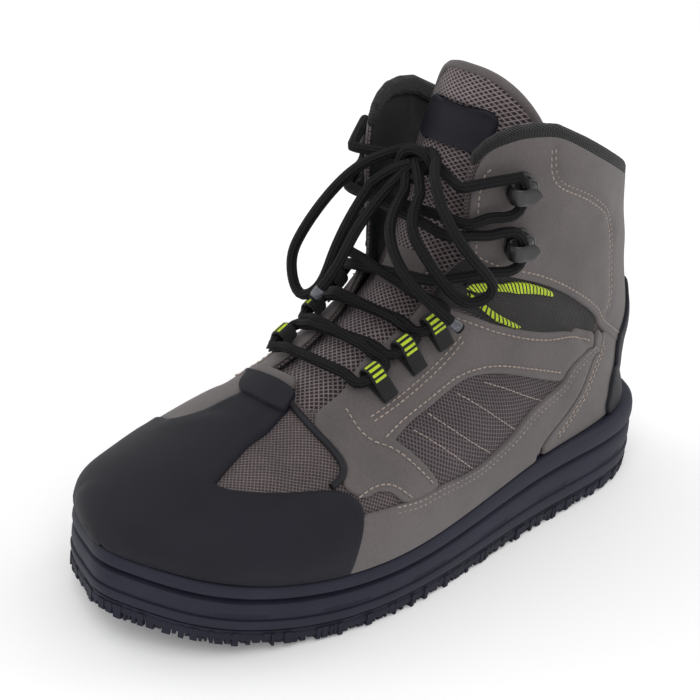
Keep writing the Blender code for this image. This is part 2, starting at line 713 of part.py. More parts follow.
def add(name, points, faces, slot):
    mesh = bpy.data.meshes.new(name)
    mesh.from_pydata([tuple(map(float, p)) for p in points], [], [tuple(int(k) for k in f) for f in faces])
    mesh.validate()
    piece = bpy.data.objects.new(name, mesh)
    bpy.context.scene.collection.objects.link(piece)
    piece.data.materials.append(MATERIALS[slot])
    return piece


def material(slot):
    made = bpy.data.materials.new(slot)
    made.use_nodes = True
    shader = made.node_tree.nodes["Principled BSDF"]
    shader.inputs["Base Color"].default_value = COLOURS[slot]
    shader.inputs["Roughness"].default_value = ROUGHNESS.get(slot, CLOTH_ROUGHNESS)
    shader.inputs["Metallic"].default_value = float(slot == "metal")
    return made


def mirrored(loop):
    return np.array(loop)[::-1] * (1, -1)


def around(half):
    """Closes a half outline across the back seam."""
    half = np.array(half)
    other = half[-2:0:-1].copy()
    other[:, 1] = 2 - other[:, 1]
    return np.concatenate([half, other])


def stations(count):
    return (1 - np.cos(np.linspace(0, np.pi, count + 1))) / 2


def stack(name, rings, slot):
    """Solid through matching rings; each ring is toe tip, lateral points, heel tip, medial points back."""
    rings = np.array(rings)
    levels, size = rings.shape[:2]
    half = size // 2
    faces = []
    for k in range(levels - 1):
        for i in range(size):
            j = (i + 1) % size
            faces.append((k * size + i, k * size + j, (k + 1) * size + j, (k + 1) * size + i))
    for first, flip in ((0, True), ((levels - 1) * size, False)):
        for i in range(half):
            left, right = (size - i) % size, size - i - 1
            cap = [first + i, first + i + 1, first + right, first + left]
            cap = list(dict.fromkeys(cap))
            faces.append(tuple(cap[::-1]) if flip else tuple(cap))
    points = rings.reshape(-1, 3)
    made = []
    for f in faces:
        made += [(f[0], f[k], f[k + 1]) for k in range(1, len(f) - 1)]
    return add(name, points, made, slot)


def sole_ring(share, out, rise, low, high):
    """Ring of the sole at a height between two height lines, moved out along the outline's normal."""
    lateral = np.stack([half_width(share, 1), SOLE_LENGTH * (share - 0.5)], -1)
    medial = np.stack([-half_width(share, -1), SOLE_LENGTH * (share - 0.5)], -1)
    ring = np.concatenate([lateral, medial[-2:0:-1]])
    shares = np.concatenate([share, share[-2:0:-1]])
    way = np.roll(ring, -1, 0) - np.roll(ring, 1, 0)
    side = np.stack([way[:, 1], -way[:, 0]], -1)
    side /= np.linalg.norm(side, axis=1, keepdims=True)
    ring = ring + side * out
    z = low(shares) + (high(shares) - low(shares)) * rise
    return np.concatenate([ring, z[:, None]], 1)


def plate_top(share):
    return LUG_HEIGHT + PLATE_THICK + spring(share)


def clip_polygon(polygon, start, stop):
    """Part of the polygon on the left of a line."""
    way = stop - start
    out = []
    for p, q in zip(polygon, np.roll(polygon, -1, 0)):
        dp = way[0] * (p[1] - start[1]) - way[1] * (p[0] - start[0])
        dq = way[0] * (q[1] - start[1]) - way[1] * (q[0] - start[0])
        if dp >= 0:
            out.append(p)
        if (dp >= 0) != (dq >= 0):
            out.append(p + (q - p) * dp / (dp - dq))
    return np.array(out).reshape(-1, 2)


def lugs(edge):
    """Five sided lugs in leaning rows, cut along the edge of the plate."""
    found = []
    reach = int(SOLE_LENGTH / min(LUG_PITCH_X, LUG_PITCH_Y)) + 2
    for i in range(-reach, reach):
        for j in range(-reach, reach):
            x = (i + 0.5 * (j % 2)) * LUG_PITCH_X
            y = j * LUG_PITCH_Y + x * LUG_ROW_LEAN
            angles = LUG_TURN + 2 * np.pi * (np.arange(LUG_SIDES) + 0.5 * (i % 2)) / LUG_SIDES
            lug = np.stack([x + LUG_RADIUS * np.cos(angles), y + LUG_RADIUS * np.sin(angles)], -1)
            near = np.linalg.norm(edge - (x, y), axis=1)
            if near.min() < 2 * LUG_RADIUS:
                for k in np.argsort(near)[:LUG_CUTS]:
                    if len(lug) > 2:
                        lug = clip_polygon(lug, edge[k], edge[(k + 1) % len(edge)])
                        lug = clip_polygon(lug, edge[k - 1], edge[k]) if len(lug) > 2 else lug
            elif not inside_loop(np.array([(x, y)]), edge)[0]:
                continue
            if len(lug) < 3 or area(lug) < LUG_LEAST:
                continue
            keep = np.linalg.norm(lug - np.roll(lug, 1, 0), axis=1) > LUG_EDGE
            lug = lug[keep]
            if len(lug) > 2 and area(lug) > LUG_LEAST:
                found.append(lug)
    return found


def shrink(loop, by):
    way = np.roll(loop, -1, 0) - np.roll(loop, 1, 0)
    side = np.stack([-way[:, 1], way[:, 0]], -1)
    side /= np.linalg.norm(side, axis=1, keepdims=True)
    return loop + side * by


def outsole():
    share = stations(SOLE_STATIONS)
    rim = sole_ring(share, -PLATE_INSET, 0, spring, spring)[:, :2]
    edge = shrink(rim, LUG_EDGE)
    blocks = lugs(edge)
    loops = [rim] + blocks
    flat = np.concatenate(loops)
    edges = []
    first = 0
    for loop in loops:
        edges += [(first + k, first + (k + 1) % len(loop)) for k in range(len(loop))]
        first += len(loop)
    found = delaunay_2d_cdt([Vector(p) for p in flat], edges, [], 0, TINY)
    points, faces = np.array([tuple(p) for p in found[0]]), np.array(found[2])
    middle = points[faces].mean(1)
    faces = faces[inside_loop(middle, rim)]
    middle = points[faces].mean(1)
    owner = np.full(len(faces), -1)
    for k, block in enumerate(blocks):
        owner[inside_loop(middle, block)] = k
    first_copy = {}
    solid = []
    ground = [float(spring(y / SOLE_LENGTH + 0.5)) for _, y in points]
    made = [(x, y, LUG_HEIGHT + z) for (x, y), z in zip(points, ground)]
    count = len(made)
    made += [(x, y, z + PLATE_THICK - SEAT_GAP) for x, y, z in made]
    for f, own in zip(faces, owner):
        solid.append(tuple(k + count for k in f))
        if own < 0:
            solid.append(tuple(f[::-1]))
            continue
        centre = blocks[own].mean(0)
        tip = []
        for k in f:
            key = (own, k)
            if key not in first_copy:
                first_copy[key] = len(made)
                x, y = centre + (points[k] - centre) * LUG_TAPER
                made.append((x, y, ground[k]))
            tip.append(first_copy[key])
        solid.append(tuple(tip[::-1]))
    for own in range(len(blocks)):
        mine = faces[owner == own]
        directed = {(f[k], f[(k + 1) % 3]) for f in mine for k in range(3)}
        for i, j in directed:
            if (j, i) not in directed:
                low_i, low_j = first_copy[(own, i)], first_copy[(own, j)]
                solid.append((i, low_i, low_j))
                solid.append((i, low_j, j))
    directed = {(f[k], f[(k + 1) % 3]) for f in faces for k in range(3)}
    for i, j in directed:
        if (j, i) not in directed:
            solid.append((i, j, j + count))
            solid.append((i, j + count, i + count))
    return add("outsole", made, solid, "sole")


def frame_at(surface, facing, p, q, towards, lift):
    """Place on a surface: point, direction to the throat, direction along the boot, normal."""
    point = surface(p, q)
    n = facing(p, q)
    n = n / np.linalg.norm(n)
    along = surface(min(p + NUDGE, 1), q) - surface(p - NUDGE, q)
    along = along - n * (along @ n)
    along /= np.linalg.norm(along)
    throat = np.cross(n, along)
    throat *= np.sign(throat @ (surface(p, q + towards * NUDGE) - surface(p, q)))
    return point + n * lift, throat, along, n


def strip(name, path, thick, width, place, slot):
    """Bent strip: its middle line in the plane of throat and normal, given a thickness and a width."""
    point, throat, along, n = place
    path = np.array(path)
    way = np.gradient(path, axis=0)
    way /= np.linalg.norm(way, axis=1, keepdims=True)
    side = np.stack([-way[:, 1], way[:, 0]], -1) * thick / 2
    ring = np.concatenate([path + side, (path - side)[::-1]])
    if area(ring) < 0:
        ring = ring[::-1]
    flip = float(np.dot(np.cross(throat, n), along))
    count = len(ring)
    points = []
    for end in (-width / 2, width / 2):
        points += [point + throat * u + n * w + along * end for u, w in ring]
    faces = []
    for k in range(count):
        m = (k + 1) % count
        faces += [(k, m, m + count), (k, m + count, k + count)]
    for k in range(len(path) - 1):
        far = count - 1 - k
        for tri in ((k, k + 1, far - 1), (k, far - 1, far)):
            turned = tri if area(ring[list(tri)]) > 0 else tri[::-1]
            faces.append(tuple(turned[::-1]))
            faces.append(tuple(v + count for v in turned))
    if flip < 0:
        faces = [f[::-1] for f in faces]
    return add(name, points, faces, slot)


def arc(centre, radius, start, stop, steps):
    angles = np.linspace(start, stop, steps)
    return [(centre[0] + radius * np.cos(t), centre[1] + radius * np.sin(t)) for t in angles]


def web_path():
    """Webbing from its tail on the eyestay, round the lace and back over itself."""
    middle = WEB_THICK / 2
    radius = EYE_RADIUS + middle
    centre = (EYE_FORWARD, radius + middle)
    back = arc(centre, radius, -np.pi / 2, np.pi * WEB_WRAP, EYE_STEPS)
    last = back[-1]
    rest = [(last[0] - EYE_RADIUS, last[1] * WEB_FALL + WEB_THICK), (-WEB_TAIL, middle + WEB_THICK * WEB_REST)]
    return [(-WEB_TAIL, middle), (0.0, middle)] + back + rest, centre


def hook_path():
    middle = HOOK_DISC_THICK + HOOK_THICK / 2 + TRIM_LIFT
    radius = EYE_RADIUS + HOOK_THICK / 2
    centre = (EYE_FORWARD - HOOK_TIP, radius + middle)
    back = arc(centre, radius, -np.pi / 2, np.pi * HOOK_WRAP, EYE_STEPS)
    top = (-HOOK_TAIL * HOOK_TOP, back[-1][1] + HOOK_TIP)
    return [(-HOOK_TAIL, middle), (0.0, middle)] + back + [top], centre


def disc(name, place, radius, thick, sides, slot):
    point, throat, along, n = place
    angles = 2 * np.pi * np.arange(sides) / sides
    ring = [point + throat * radius * np.cos(t) + along * radius * np.sin(t) for t in angles]
    points = ring + [p + n * thick for p in ring]
    faces = []
    for k in range(1, sides - 1):
        faces.append((0, k + 1, k))
        faces.append((sides, sides + k, sides + k + 1))
    for k in range(sides):
        m = (k + 1) % sides
        faces += [(k, m, m + sides), (k, m + sides, k + sides)]
    if np.dot(np.cross(throat, along), n) < 0:
        faces = [f[::-1] for f in faces]
    return add(name, points, faces, slot)


def circle_on(p, q, radius, sides):
    """Loop in a, b that is a circle on the upper."""
    along = (form(p + NUDGE, q) - form(p - NUDGE, q)) / (2 * NUDGE)
    across = (form(p, q + NUDGE) - form(p, q - NUDGE)) / (2 * NUDGE)
    first = along / np.linalg.norm(along)
    second = np.cross(form_normal(p, q), first)
    matrix = np.stack([along, across], 1)
    loop = []
    for k in range(sides):
        t = 2 * np.pi * k / sides
        want = radius * (np.cos(t) * first + np.sin(t) * second)
        loop.append(np.array([p, q]) + np.linalg.lstsq(matrix, want, rcond=None)[0])
    return np.array(loop)


def spaced(points, step):
    """Even points on a smooth curve through the given ones."""
    points = np.array(points)
    knots = np.concatenate([[0], np.cumsum(np.sqrt(np.linalg.norm(np.diff(points, axis=0), axis=1)))])
    fine = natural(knots, points, np.linspace(0, knots[-1], FINE_POINTS * len(points)))
    run = np.concatenate([[0], np.cumsum(np.linalg.norm(np.diff(fine, axis=0), axis=1))])
    count = max(2, int(round(run[-1] / step)) + 1)
    at = np.linspace(0, run[-1], count)
    return np.stack([np.interp(at, run, fine[:, k]) for k in range(3)], -1)


def tube(name, path, radius, sides, slot):
    """Closed round tube along the path, its frame carried along without twist."""
    way = np.gradient(path, axis=0)
    way /= np.linalg.norm(way, axis=1, keepdims=True)
    side = np.cross(way[0], (0, 0, 1))
    if np.linalg.norm(side) < 0.1:
        side = np.cross(way[0], (1, 0, 0))
    points = []
    for p, d in zip(path, way):
        side = side - d * (side @ d)
        side /= np.linalg.norm(side)
        other = np.cross(d, side)
        for k in range(sides):
            t = 2 * np.pi * k / sides
            points.append(p + radius * (np.cos(t) * side + np.sin(t) * other))
    faces = []
    for i in range(len(path) - 1):
        for k in range(sides):
            m = (k + 1) % sides
            a0, a1, b0, b1 = i * sides + k, i * sides + m, (i + 1) * sides + k, (i + 1) * sides + m
            faces += [(a0, a1, b1), (a0, b1, b0)]
    last = (len(path) - 1) * sides
    for k in range(1, sides - 1):
        faces.append((0, k + 1, k))
        faces.append((last, last + k, last + k + 1))
    return add(name, points, faces, slot)


def cord(name, points, slot):
    """Free cord as a curve with round section."""
    path = spaced(points, CORD_STEP)
    curve = bpy.data.curves.new(name, "CURVE")
    curve.dimensions = "3D"
    curve.bevel_depth = LACE_RADIUS
    curve.bevel_resolution = 2
    curve.use_fill_caps = True
    spline = curve.splines.new("POLY")
    spline.points.add(len(path) - 1)
    for k, p in enumerate(path):
        spline.points[k].co = (float(p[0]), float(p[1]), float(p[2]), 1)
    piece = bpy.data.objects.new(name, curve)
    bpy.context.scene.collection.objects.link(piece)
    curve.materials.append(MATERIALS[slot])
    return piece


for old in list(bpy.data.objects):
    bpy.data.objects.remove(old, do_unlink=True)

MATERIALS = {slot: material(slot) for slot in COLOURS}
FORM = (sheet, sheet_normal)

# Upper: one hollow wall, open at the collar, the throat slot and underneath
collar = np.array([(a, b) for b, a in COLLAR])
lateral_edge = [(0.0, 1.0), (BACK_START, 1.0)] + [tuple(p) for p in collar[::-1]] + [tuple(p) for p in SLOT[::-1][1:]]
medial_edge = [(a, -b) for a, b in lateral_edge[::-1]]
drain_holes = [circle_on(a, b, DRAIN_RADIUS, DRAIN_SIDES) for a, b in DRAINS]
shell("upper", [np.array(lateral_edge + medial_edge)] + drain_holes, "mesh", *FORM, -UPPER_WALL, 0.0)

# Pieces laid over the upper
LAID = (OVERLAY_GAP, OVERLAY_GAP + OVERLAY_WALL)
cap_toe = [(0.0, TOE_CAP[-1][1]), (0.0, TOE_CAP[0][1])]
shell("toe_cap", [np.concatenate([TOE_CAP, cap_toe])], "rubber", *FORM, OVERLAY_GAP, OVERLAY_GAP + CAP_WALL)
quarter_lateral = np.concatenate([QUARTER_FRONT_LATERAL, QUARTER_REST])
quarter_medial = mirrored(np.concatenate([QUARTER_FRONT_MEDIAL, QUARTER_REST]))
shell("quarter_lateral", [quarter_lateral], "taupe", *FORM, *LAID)
shell("quarter_medial", [quarter_medial], "taupe", *FORM, *LAID)
drain_covers = [circle_on(a, b, DRAIN_RADIUS + DRAIN_COVER, DRAIN_SIDES) for a, b in DRAINS]
band_medial = mirrored(np.concatenate([BAND_FRONT_MEDIAL, BAND_REST]))
shell("band_lateral", [np.concatenate([BAND_FRONT_LATERAL, BAND_REST])], "taupe", *FORM, *LAID)
shell("band_medial", [band_medial] + drain_covers, "taupe", *FORM, *LAID)
shell("heel_panel", [around(HEEL_HALF)], "taupe", *FORM, *LAID)
shell("shaft_panel", [around(SHAFT_HALF)], "taupe", *FORM, *LAID)
shell("heel_counter", [around(COUNTER_HALF)], "rubber", *FORM, COUNTER_LIFT, COUNTER_LIFT + COUNTER_WALL)
shell("elastic_upper_lateral", [ELASTIC_UPPER], "elastic", *FORM, *LAID)
shell("elastic_lower_lateral", [ELASTIC_LOWER], "elastic", *FORM, *LAID)
shell("elastic_upper_medial", [mirrored(ELASTIC_UPPER)], "elastic", *FORM, *LAID)
shell("elastic_lower_medial", [mirrored(ELASTIC_LOWER)], "elastic", *FORM, *LAID)

# Rolled binding that stands on the collar edge
line = np.array([(a, b) for b, a in COLLAR[1:]])
around_b = np.linspace(line[0][1], 1, BINDING_STEPS)
foot = np.stack([np.interp(around_b, line[:, 1], line[:, 0]) + BINDING_FOOT, around_b], -1)
head = foot + (BINDING_RISE - BINDING_FOOT, 0)
half_loop = np.concatenate([foot[::-1], head])
other = half_loop[::-1].copy()[1:-1]
other[:, 1] = 2 - other[:, 1]
binding_loop = np.concatenate([half_loop, other])
shell("collar_binding", [binding_loop], "webbing", *FORM, -BINDING_INSIDE, BINDING_OUTSIDE)

# Drain grommets on the medial band
for number, (a, b) in enumerate(DRAINS, 1):
    ring = circle_on(a, b, GROMMET_RADIUS, DRAIN_SIDES)
    hole = circle_on(a, b, DRAIN_RADIUS, DRAIN_SIDES)
    lift = LAID[1] + TRIM_LIFT
    shell(f"drain_grommet_{number}", [ring, hole], "metal", *FORM, lift, lift + GROMMET_THICK)

# Sole
share = stations(SOLE_STATIONS)
rings = [sole_ring(share, out, rise, plate_top, rand_height) for rise, out in SIDE]
stack("midsole", rings, "sole")
outsole()

# Insole inside the upper, on the midsole
share = stations(INSOLE_STATIONS)
lateral = feather(share, 1, INSOLE_INSET, INSOLE_HEEL_INSET)
medial = feather(share, -1, INSOLE_INSET, INSOLE_HEEL_INSET) * (-1, 1, 1)
ring = np.concatenate([lateral, medial[-2:0:-1]])
stack("insole", [ring, ring + (0, 0, INSOLE_THICK)], "foam")

# Tongue and its plain badge
fall = [(1 - TONGUE_TOP_FALL * abs(v) ** 3, v) for v in np.linspace(1, -1, TONGUE_TOP_STEPS)]
tongue_loop = np.array([(0.0, -1.0), (0.0, 0.0), (0.0, 1.0)] + fall)
shell("tongue", [tongue_loop], "mesh", tongue, tongue_normal, -TONGUE_WALL, 0.0,
      TONGUE_MARKS, TONGUE_PLANE)
corners = []
for sx, sz in ((1, 1), (-1, 1), (-1, -1), (1, -1)):
    middle = ((BADGE_HALF_WIDE - BADGE_CORNER) * sx, (BADGE_HALF_HIGH - BADGE_CORNER) * sz)
    start = np.arctan2(sz, sx) - np.pi / 4
    corners += arc(middle, BADGE_CORNER, start, start + np.pi / 2, BADGE_STEPS)
badge_t = np.linalg.norm(tongue(BADGE_AT + NUDGE, 0.0) - tongue(BADGE_AT - NUDGE, 0.0)) / (2 * NUDGE)
badge_v = np.linalg.norm(tongue(BADGE_AT, NUDGE) - tongue(BADGE_AT, -NUDGE)) / (2 * NUDGE)
badge_loop = np.array([(BADGE_AT + z / badge_t, x / badge_v) for x, z in corners])
shell("tongue_badge", [badge_loop], "rubber", tongue, tongue_normal, BADGE_LIFT, BADGE_LIFT + BADGE_THICK,
      TONGUE_MARKS, TONGUE_PLANE)

# Lace loops of webbing on the eyestays, speed hooks on the shaft
TRIM = LAID[1] + TRIM_LIFT
path, eye = web_path()
eyes = {1: [], -1: []}
for side, places, word in ((1, WEB_LATERAL, "lateral"), (-1, WEB_MEDIAL, "medial")):
    for number, (a, b) in enumerate(places, 1):
        place = frame_at(form, form_normal, a, b, -side, TRIM)
        strip(f"lace_loop_{word}_{number}", path, WEB_THICK, WEB_WIDTH, place, "webbing")
        centre = place[0] + place[1] * eye[0] + place[3] * eye[1]
        eyes[side].append((centre, place[1], place[2]))
path, eye = hook_path()
for side, word in ((1, "lateral"), (-1, "medial")):
    for number, (a, b) in enumerate(HOOK_AT, 1):
        place = frame_at(form, form_normal, a, b * side, -side, TRIM)
        disc(f"hook_base_{word}_{number}", place, HOOK_DISC, HOOK_DISC_THICK, HOOK_SIDES, "hook")
        strip(f"hook_{word}_{number}", path, HOOK_THICK, HOOK_WIDTH, place, "hook")
        centre = place[0] + place[1] * eye[0] + place[3] * eye[1]
        eyes[side].append((centre, place[1], place[2]))


# Surfaces that the lace lies on
FRONT_A, FRONT_B = np.meshgrid(np.linspace(FRONT_START, 1, FRONT_GRID[0]),
                               np.linspace(THROAT_EDGE, FRONT_EDGE, FRONT_GRID[1]))
TONGUE_T, TONGUE_V = np.meshgrid(np.linspace(0, 1, TONGUE_GRID[0]),
                                 np.linspace(-TONGUE_SHOWN, TONGUE_SHOWN, TONGUE_GRID[1]))
NORMALS = np.concatenate([tongue_normal(TONGUE_T, TONGUE_V).reshape(-1, 3)] + [
    form_normal(FRONT_A, FRONT_B * side).reshape(-1, 3) for side in (-1, 1)])
FRONT = np.concatenate([tongue(TONGUE_T, TONGUE_V).reshape(-1, 3)] + [
    (form(FRONT_A, FRONT_B * side) + form_normal(FRONT_A, FRONT_B * side) * LAID[1]).reshape(-1, 3)
    for side in (-1, 1)])
FRONT_TREE = KDTree(len(FRONT))
for k, p in enumerate(FRONT):
    FRONT_TREE.insert(p, k)
FRONT_TREE.balance()


def drape(start, stop, shares, lift=0.0, least=DRAPE_LEAST):
    """Points of the lace pulled taut between two places, clear of the tongue and the upper."""
    count = max(least, round(np.linalg.norm(stop - start) / LACE_STEP))
    along = np.linspace(0, 1, count + 1)
    points = start + (stop - start) * along[:, None] + np.sin(np.pi * along)[:, None] * DRAPE_START
    for _ in range(PULLS):
        points[1:-1] = (points[:-2] + points[2:]) / 2
        for i in range(1, count):
            _, k, distance = FRONT_TREE.find(points[i])
            away = LACE_RADIUS + LACE_CLEAR + lift * np.sin(np.pi * along[i]) ** CROSS_POWER
            if distance < away:
                points[i] += NORMALS[k] * max(0, away - (points[i] - FRONT[k]) @ NORMALS[k])
    return [p for p, at in zip(points, along) if shares[0] <= at <= shares[1]]


KNOT = tongue(KNOT_T, 0.0) + tongue_normal(KNOT_T, 0.0) * KNOT_OUT


def lace_points(first_side, lifts):
    """Lace from the middle of the bar through the eyes on alternate sides to the knot."""
    enter = {side: [c - along * EYE_REACH for c, _, along in eyes[side]] for side in eyes}
    leave = {side: [c + along * EYE_REACH for c, _, along in eyes[side]] for side in eyes}
    points = drape(enter[-first_side][0], enter[first_side][0], BAR_SHARES)
    side = first_side
    for k in range(len(lifts)):
        points += [enter[side][k], leave[side][k]]
        points += drape(leave[side][k], enter[-side][k + 1], CROSS_SHARES, lifts[k])
        side = -side
    points += [enter[side][-1], leave[side][-1]]
    stop = KNOT + np.array([KNOT_SIDE * side, 0, 0])
    points += drape(leave[side][-1], stop, KNOT_SHARES, least=KNOT_LEAST)
    return np.array(points + [stop])


over = [CROSS_LIFT, 0, CROSS_LIFT, 0]
first = tube("lace_run", lace_points(1, over), LACE_RADIUS, LACE_SIDES, "lace")
under = [CROSS_LIFT - lift for lift in over]
second = tube("lace_cutter", lace_points(-1, under), LACE_RADIUS, LACE_SIDES, "lace")
joined = first.modifiers.new("join", "BOOLEAN")
joined.operation = "UNION"
joined.solver = "EXACT"
joined.object = second
second.hide_render = True
second.display_type = "WIRE"

# Pull loop behind the counter
place = frame_at(form, form_normal, PULL_AT, 1.0, -1, COUNTER_LIFT + COUNTER_WALL + PULL_LIFT)
point, _, up, out = place
half = PULL_HEIGHT / 2
bend = [(half * np.cos(t), PULL_THICK / 2 + PULL_REACH * np.sin(t)) for t in np.linspace(np.pi, 0, PULL_STEPS)]
strip("pull_loop", bend, PULL_THICK, PULL_WIDTH, (point, up, np.cross(out, up), out), "webbing")

# Knot, bow and ends: free cords, in millimetres from the knot
CORDS = {
    "lace_bow_medial": [(-11, -8, 2), (-19, -20, -5), (-27, -31, -21), (-32, -37, -36), (-33, -39, -47),
                        (-25, -41, -57), (-16, -40, -51), (-13, -37, -38), (-12, -30, -23), (-12, -19, -10)],
    "lace_bow_lateral": [(11, -8, 4), (20, -19, 2), (33, -26, -8), (45, -20, -24), (48, -10, -38),
                         (43, -17, -43), (33, -28, -31), (21, -30, -17), (12, -17, -8)],
    "lace_end_lateral": [(4, -17, -9), (13, -34, -19), (25, -38, -31), (37, -33, -42), (45, -23, -52)],
    "lace_end_medial": [(-4, -18, -10), (-4, -34, -24), (-7, -40, -39), (-13, -46, -54)],
}
for name, points in CORDS.items():
    cord(name, [KNOT + np.array(p) * MILLIMETRE for p in points], "lace")
turns = np.linspace(0, 2 * np.pi, KNOT_POINTS + 1)[:-1]
coil = [KNOT + MILLIMETRE * np.array((KNOT_WIDE * np.cos(t), -KNOT_NEAR - KNOT_PITCH * t / (2 * np.pi),
                                      KNOT_HIGH * np.sin(t))) for t in turns]
cord("lace_knot", coil, "lace")

# The middle of the whole width goes to X = 0
bpy.context.view_layer.update()
solid = [o for o in bpy.data.objects if o.type == "MESH" and not o.hide_render]
xs = np.array([v.co.x for o in solid for v in o.data.vertices])
shift = -(xs.min() + xs.max()) / 2
for o in bpy.data.objects:
    if o.type == "MESH":
        o.data.transform(Matrix.Translation((shift, 0, 0)))
    else:
        for p in o.data.splines[0].points:
            p.co = (p.co[0] + shift, p.co[1], p.co[2], 1)
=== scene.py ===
import json
import bpy
import numpy as np
from mathutils import Matrix, Vector
from mathutils.geometry import delaunay_2d_cdt
from mathutils.kdtree import KDTree

# Left wading boot, metres, toe towards -Y, outer side towards +X
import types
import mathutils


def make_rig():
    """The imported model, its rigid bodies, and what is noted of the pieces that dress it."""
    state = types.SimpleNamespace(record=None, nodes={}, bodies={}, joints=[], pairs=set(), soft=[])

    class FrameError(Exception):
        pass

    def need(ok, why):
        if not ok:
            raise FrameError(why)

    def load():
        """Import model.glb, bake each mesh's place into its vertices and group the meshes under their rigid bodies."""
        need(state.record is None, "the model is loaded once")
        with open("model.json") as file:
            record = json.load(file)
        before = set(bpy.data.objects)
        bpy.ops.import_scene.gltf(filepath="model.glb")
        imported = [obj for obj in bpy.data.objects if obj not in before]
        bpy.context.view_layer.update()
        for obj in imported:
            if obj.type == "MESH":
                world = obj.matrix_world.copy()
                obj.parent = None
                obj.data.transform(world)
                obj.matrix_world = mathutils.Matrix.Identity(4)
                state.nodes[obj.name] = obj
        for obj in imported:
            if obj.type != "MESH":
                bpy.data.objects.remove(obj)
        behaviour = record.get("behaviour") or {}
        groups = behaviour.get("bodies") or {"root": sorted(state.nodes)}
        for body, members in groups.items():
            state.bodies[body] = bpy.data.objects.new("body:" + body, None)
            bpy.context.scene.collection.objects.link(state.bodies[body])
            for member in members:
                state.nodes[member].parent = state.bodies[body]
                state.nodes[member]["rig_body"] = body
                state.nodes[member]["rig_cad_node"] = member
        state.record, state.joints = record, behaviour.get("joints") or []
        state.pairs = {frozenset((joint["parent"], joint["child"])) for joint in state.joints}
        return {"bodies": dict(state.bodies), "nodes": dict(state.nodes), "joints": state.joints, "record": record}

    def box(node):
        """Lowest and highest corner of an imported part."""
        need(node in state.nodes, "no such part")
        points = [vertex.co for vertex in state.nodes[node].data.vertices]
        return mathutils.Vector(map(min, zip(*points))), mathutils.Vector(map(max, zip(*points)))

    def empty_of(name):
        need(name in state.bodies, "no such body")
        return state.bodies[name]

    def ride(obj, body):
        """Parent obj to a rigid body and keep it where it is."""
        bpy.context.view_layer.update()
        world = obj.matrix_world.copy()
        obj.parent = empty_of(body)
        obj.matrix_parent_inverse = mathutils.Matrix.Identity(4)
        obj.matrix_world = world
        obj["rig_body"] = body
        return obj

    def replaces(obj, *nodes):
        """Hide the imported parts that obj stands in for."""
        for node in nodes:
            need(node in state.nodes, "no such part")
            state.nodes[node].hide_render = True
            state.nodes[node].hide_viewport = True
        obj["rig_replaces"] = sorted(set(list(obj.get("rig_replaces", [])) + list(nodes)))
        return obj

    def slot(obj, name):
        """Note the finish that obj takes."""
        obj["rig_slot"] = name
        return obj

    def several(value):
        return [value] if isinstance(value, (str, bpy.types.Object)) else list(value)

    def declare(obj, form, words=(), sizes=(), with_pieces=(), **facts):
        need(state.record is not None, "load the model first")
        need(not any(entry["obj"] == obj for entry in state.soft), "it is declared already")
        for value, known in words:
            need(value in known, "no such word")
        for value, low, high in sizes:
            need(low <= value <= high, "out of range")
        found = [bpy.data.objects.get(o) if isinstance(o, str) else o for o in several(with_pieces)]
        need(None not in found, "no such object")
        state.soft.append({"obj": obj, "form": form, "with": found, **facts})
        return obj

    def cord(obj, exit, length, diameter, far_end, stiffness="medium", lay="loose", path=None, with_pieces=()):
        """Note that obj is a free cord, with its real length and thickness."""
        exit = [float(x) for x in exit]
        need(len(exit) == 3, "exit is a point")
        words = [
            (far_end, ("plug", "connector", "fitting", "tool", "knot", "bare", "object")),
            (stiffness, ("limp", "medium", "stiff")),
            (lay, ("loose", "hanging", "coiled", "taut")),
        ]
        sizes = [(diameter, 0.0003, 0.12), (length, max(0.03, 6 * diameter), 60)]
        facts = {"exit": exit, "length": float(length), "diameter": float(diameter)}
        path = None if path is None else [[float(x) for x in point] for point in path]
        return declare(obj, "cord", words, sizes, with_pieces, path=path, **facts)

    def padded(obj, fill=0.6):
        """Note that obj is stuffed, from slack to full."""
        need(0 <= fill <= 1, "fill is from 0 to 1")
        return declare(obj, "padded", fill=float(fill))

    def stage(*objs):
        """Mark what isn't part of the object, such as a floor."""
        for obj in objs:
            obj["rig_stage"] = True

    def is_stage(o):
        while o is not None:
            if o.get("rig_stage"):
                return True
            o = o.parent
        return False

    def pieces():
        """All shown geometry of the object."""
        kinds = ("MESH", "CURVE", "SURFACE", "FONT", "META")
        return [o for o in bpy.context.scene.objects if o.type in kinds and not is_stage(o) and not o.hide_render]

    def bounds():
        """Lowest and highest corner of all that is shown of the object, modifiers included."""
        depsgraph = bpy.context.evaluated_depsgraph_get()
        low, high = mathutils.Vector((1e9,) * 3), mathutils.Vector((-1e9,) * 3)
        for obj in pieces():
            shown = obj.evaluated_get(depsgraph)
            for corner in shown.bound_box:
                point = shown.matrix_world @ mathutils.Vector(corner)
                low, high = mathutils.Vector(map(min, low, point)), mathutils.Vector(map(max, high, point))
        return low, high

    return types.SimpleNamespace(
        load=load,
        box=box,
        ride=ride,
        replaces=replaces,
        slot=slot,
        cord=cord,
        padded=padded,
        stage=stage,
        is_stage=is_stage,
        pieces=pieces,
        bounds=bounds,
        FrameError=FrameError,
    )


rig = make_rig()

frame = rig.load()
CAD_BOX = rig.bounds()

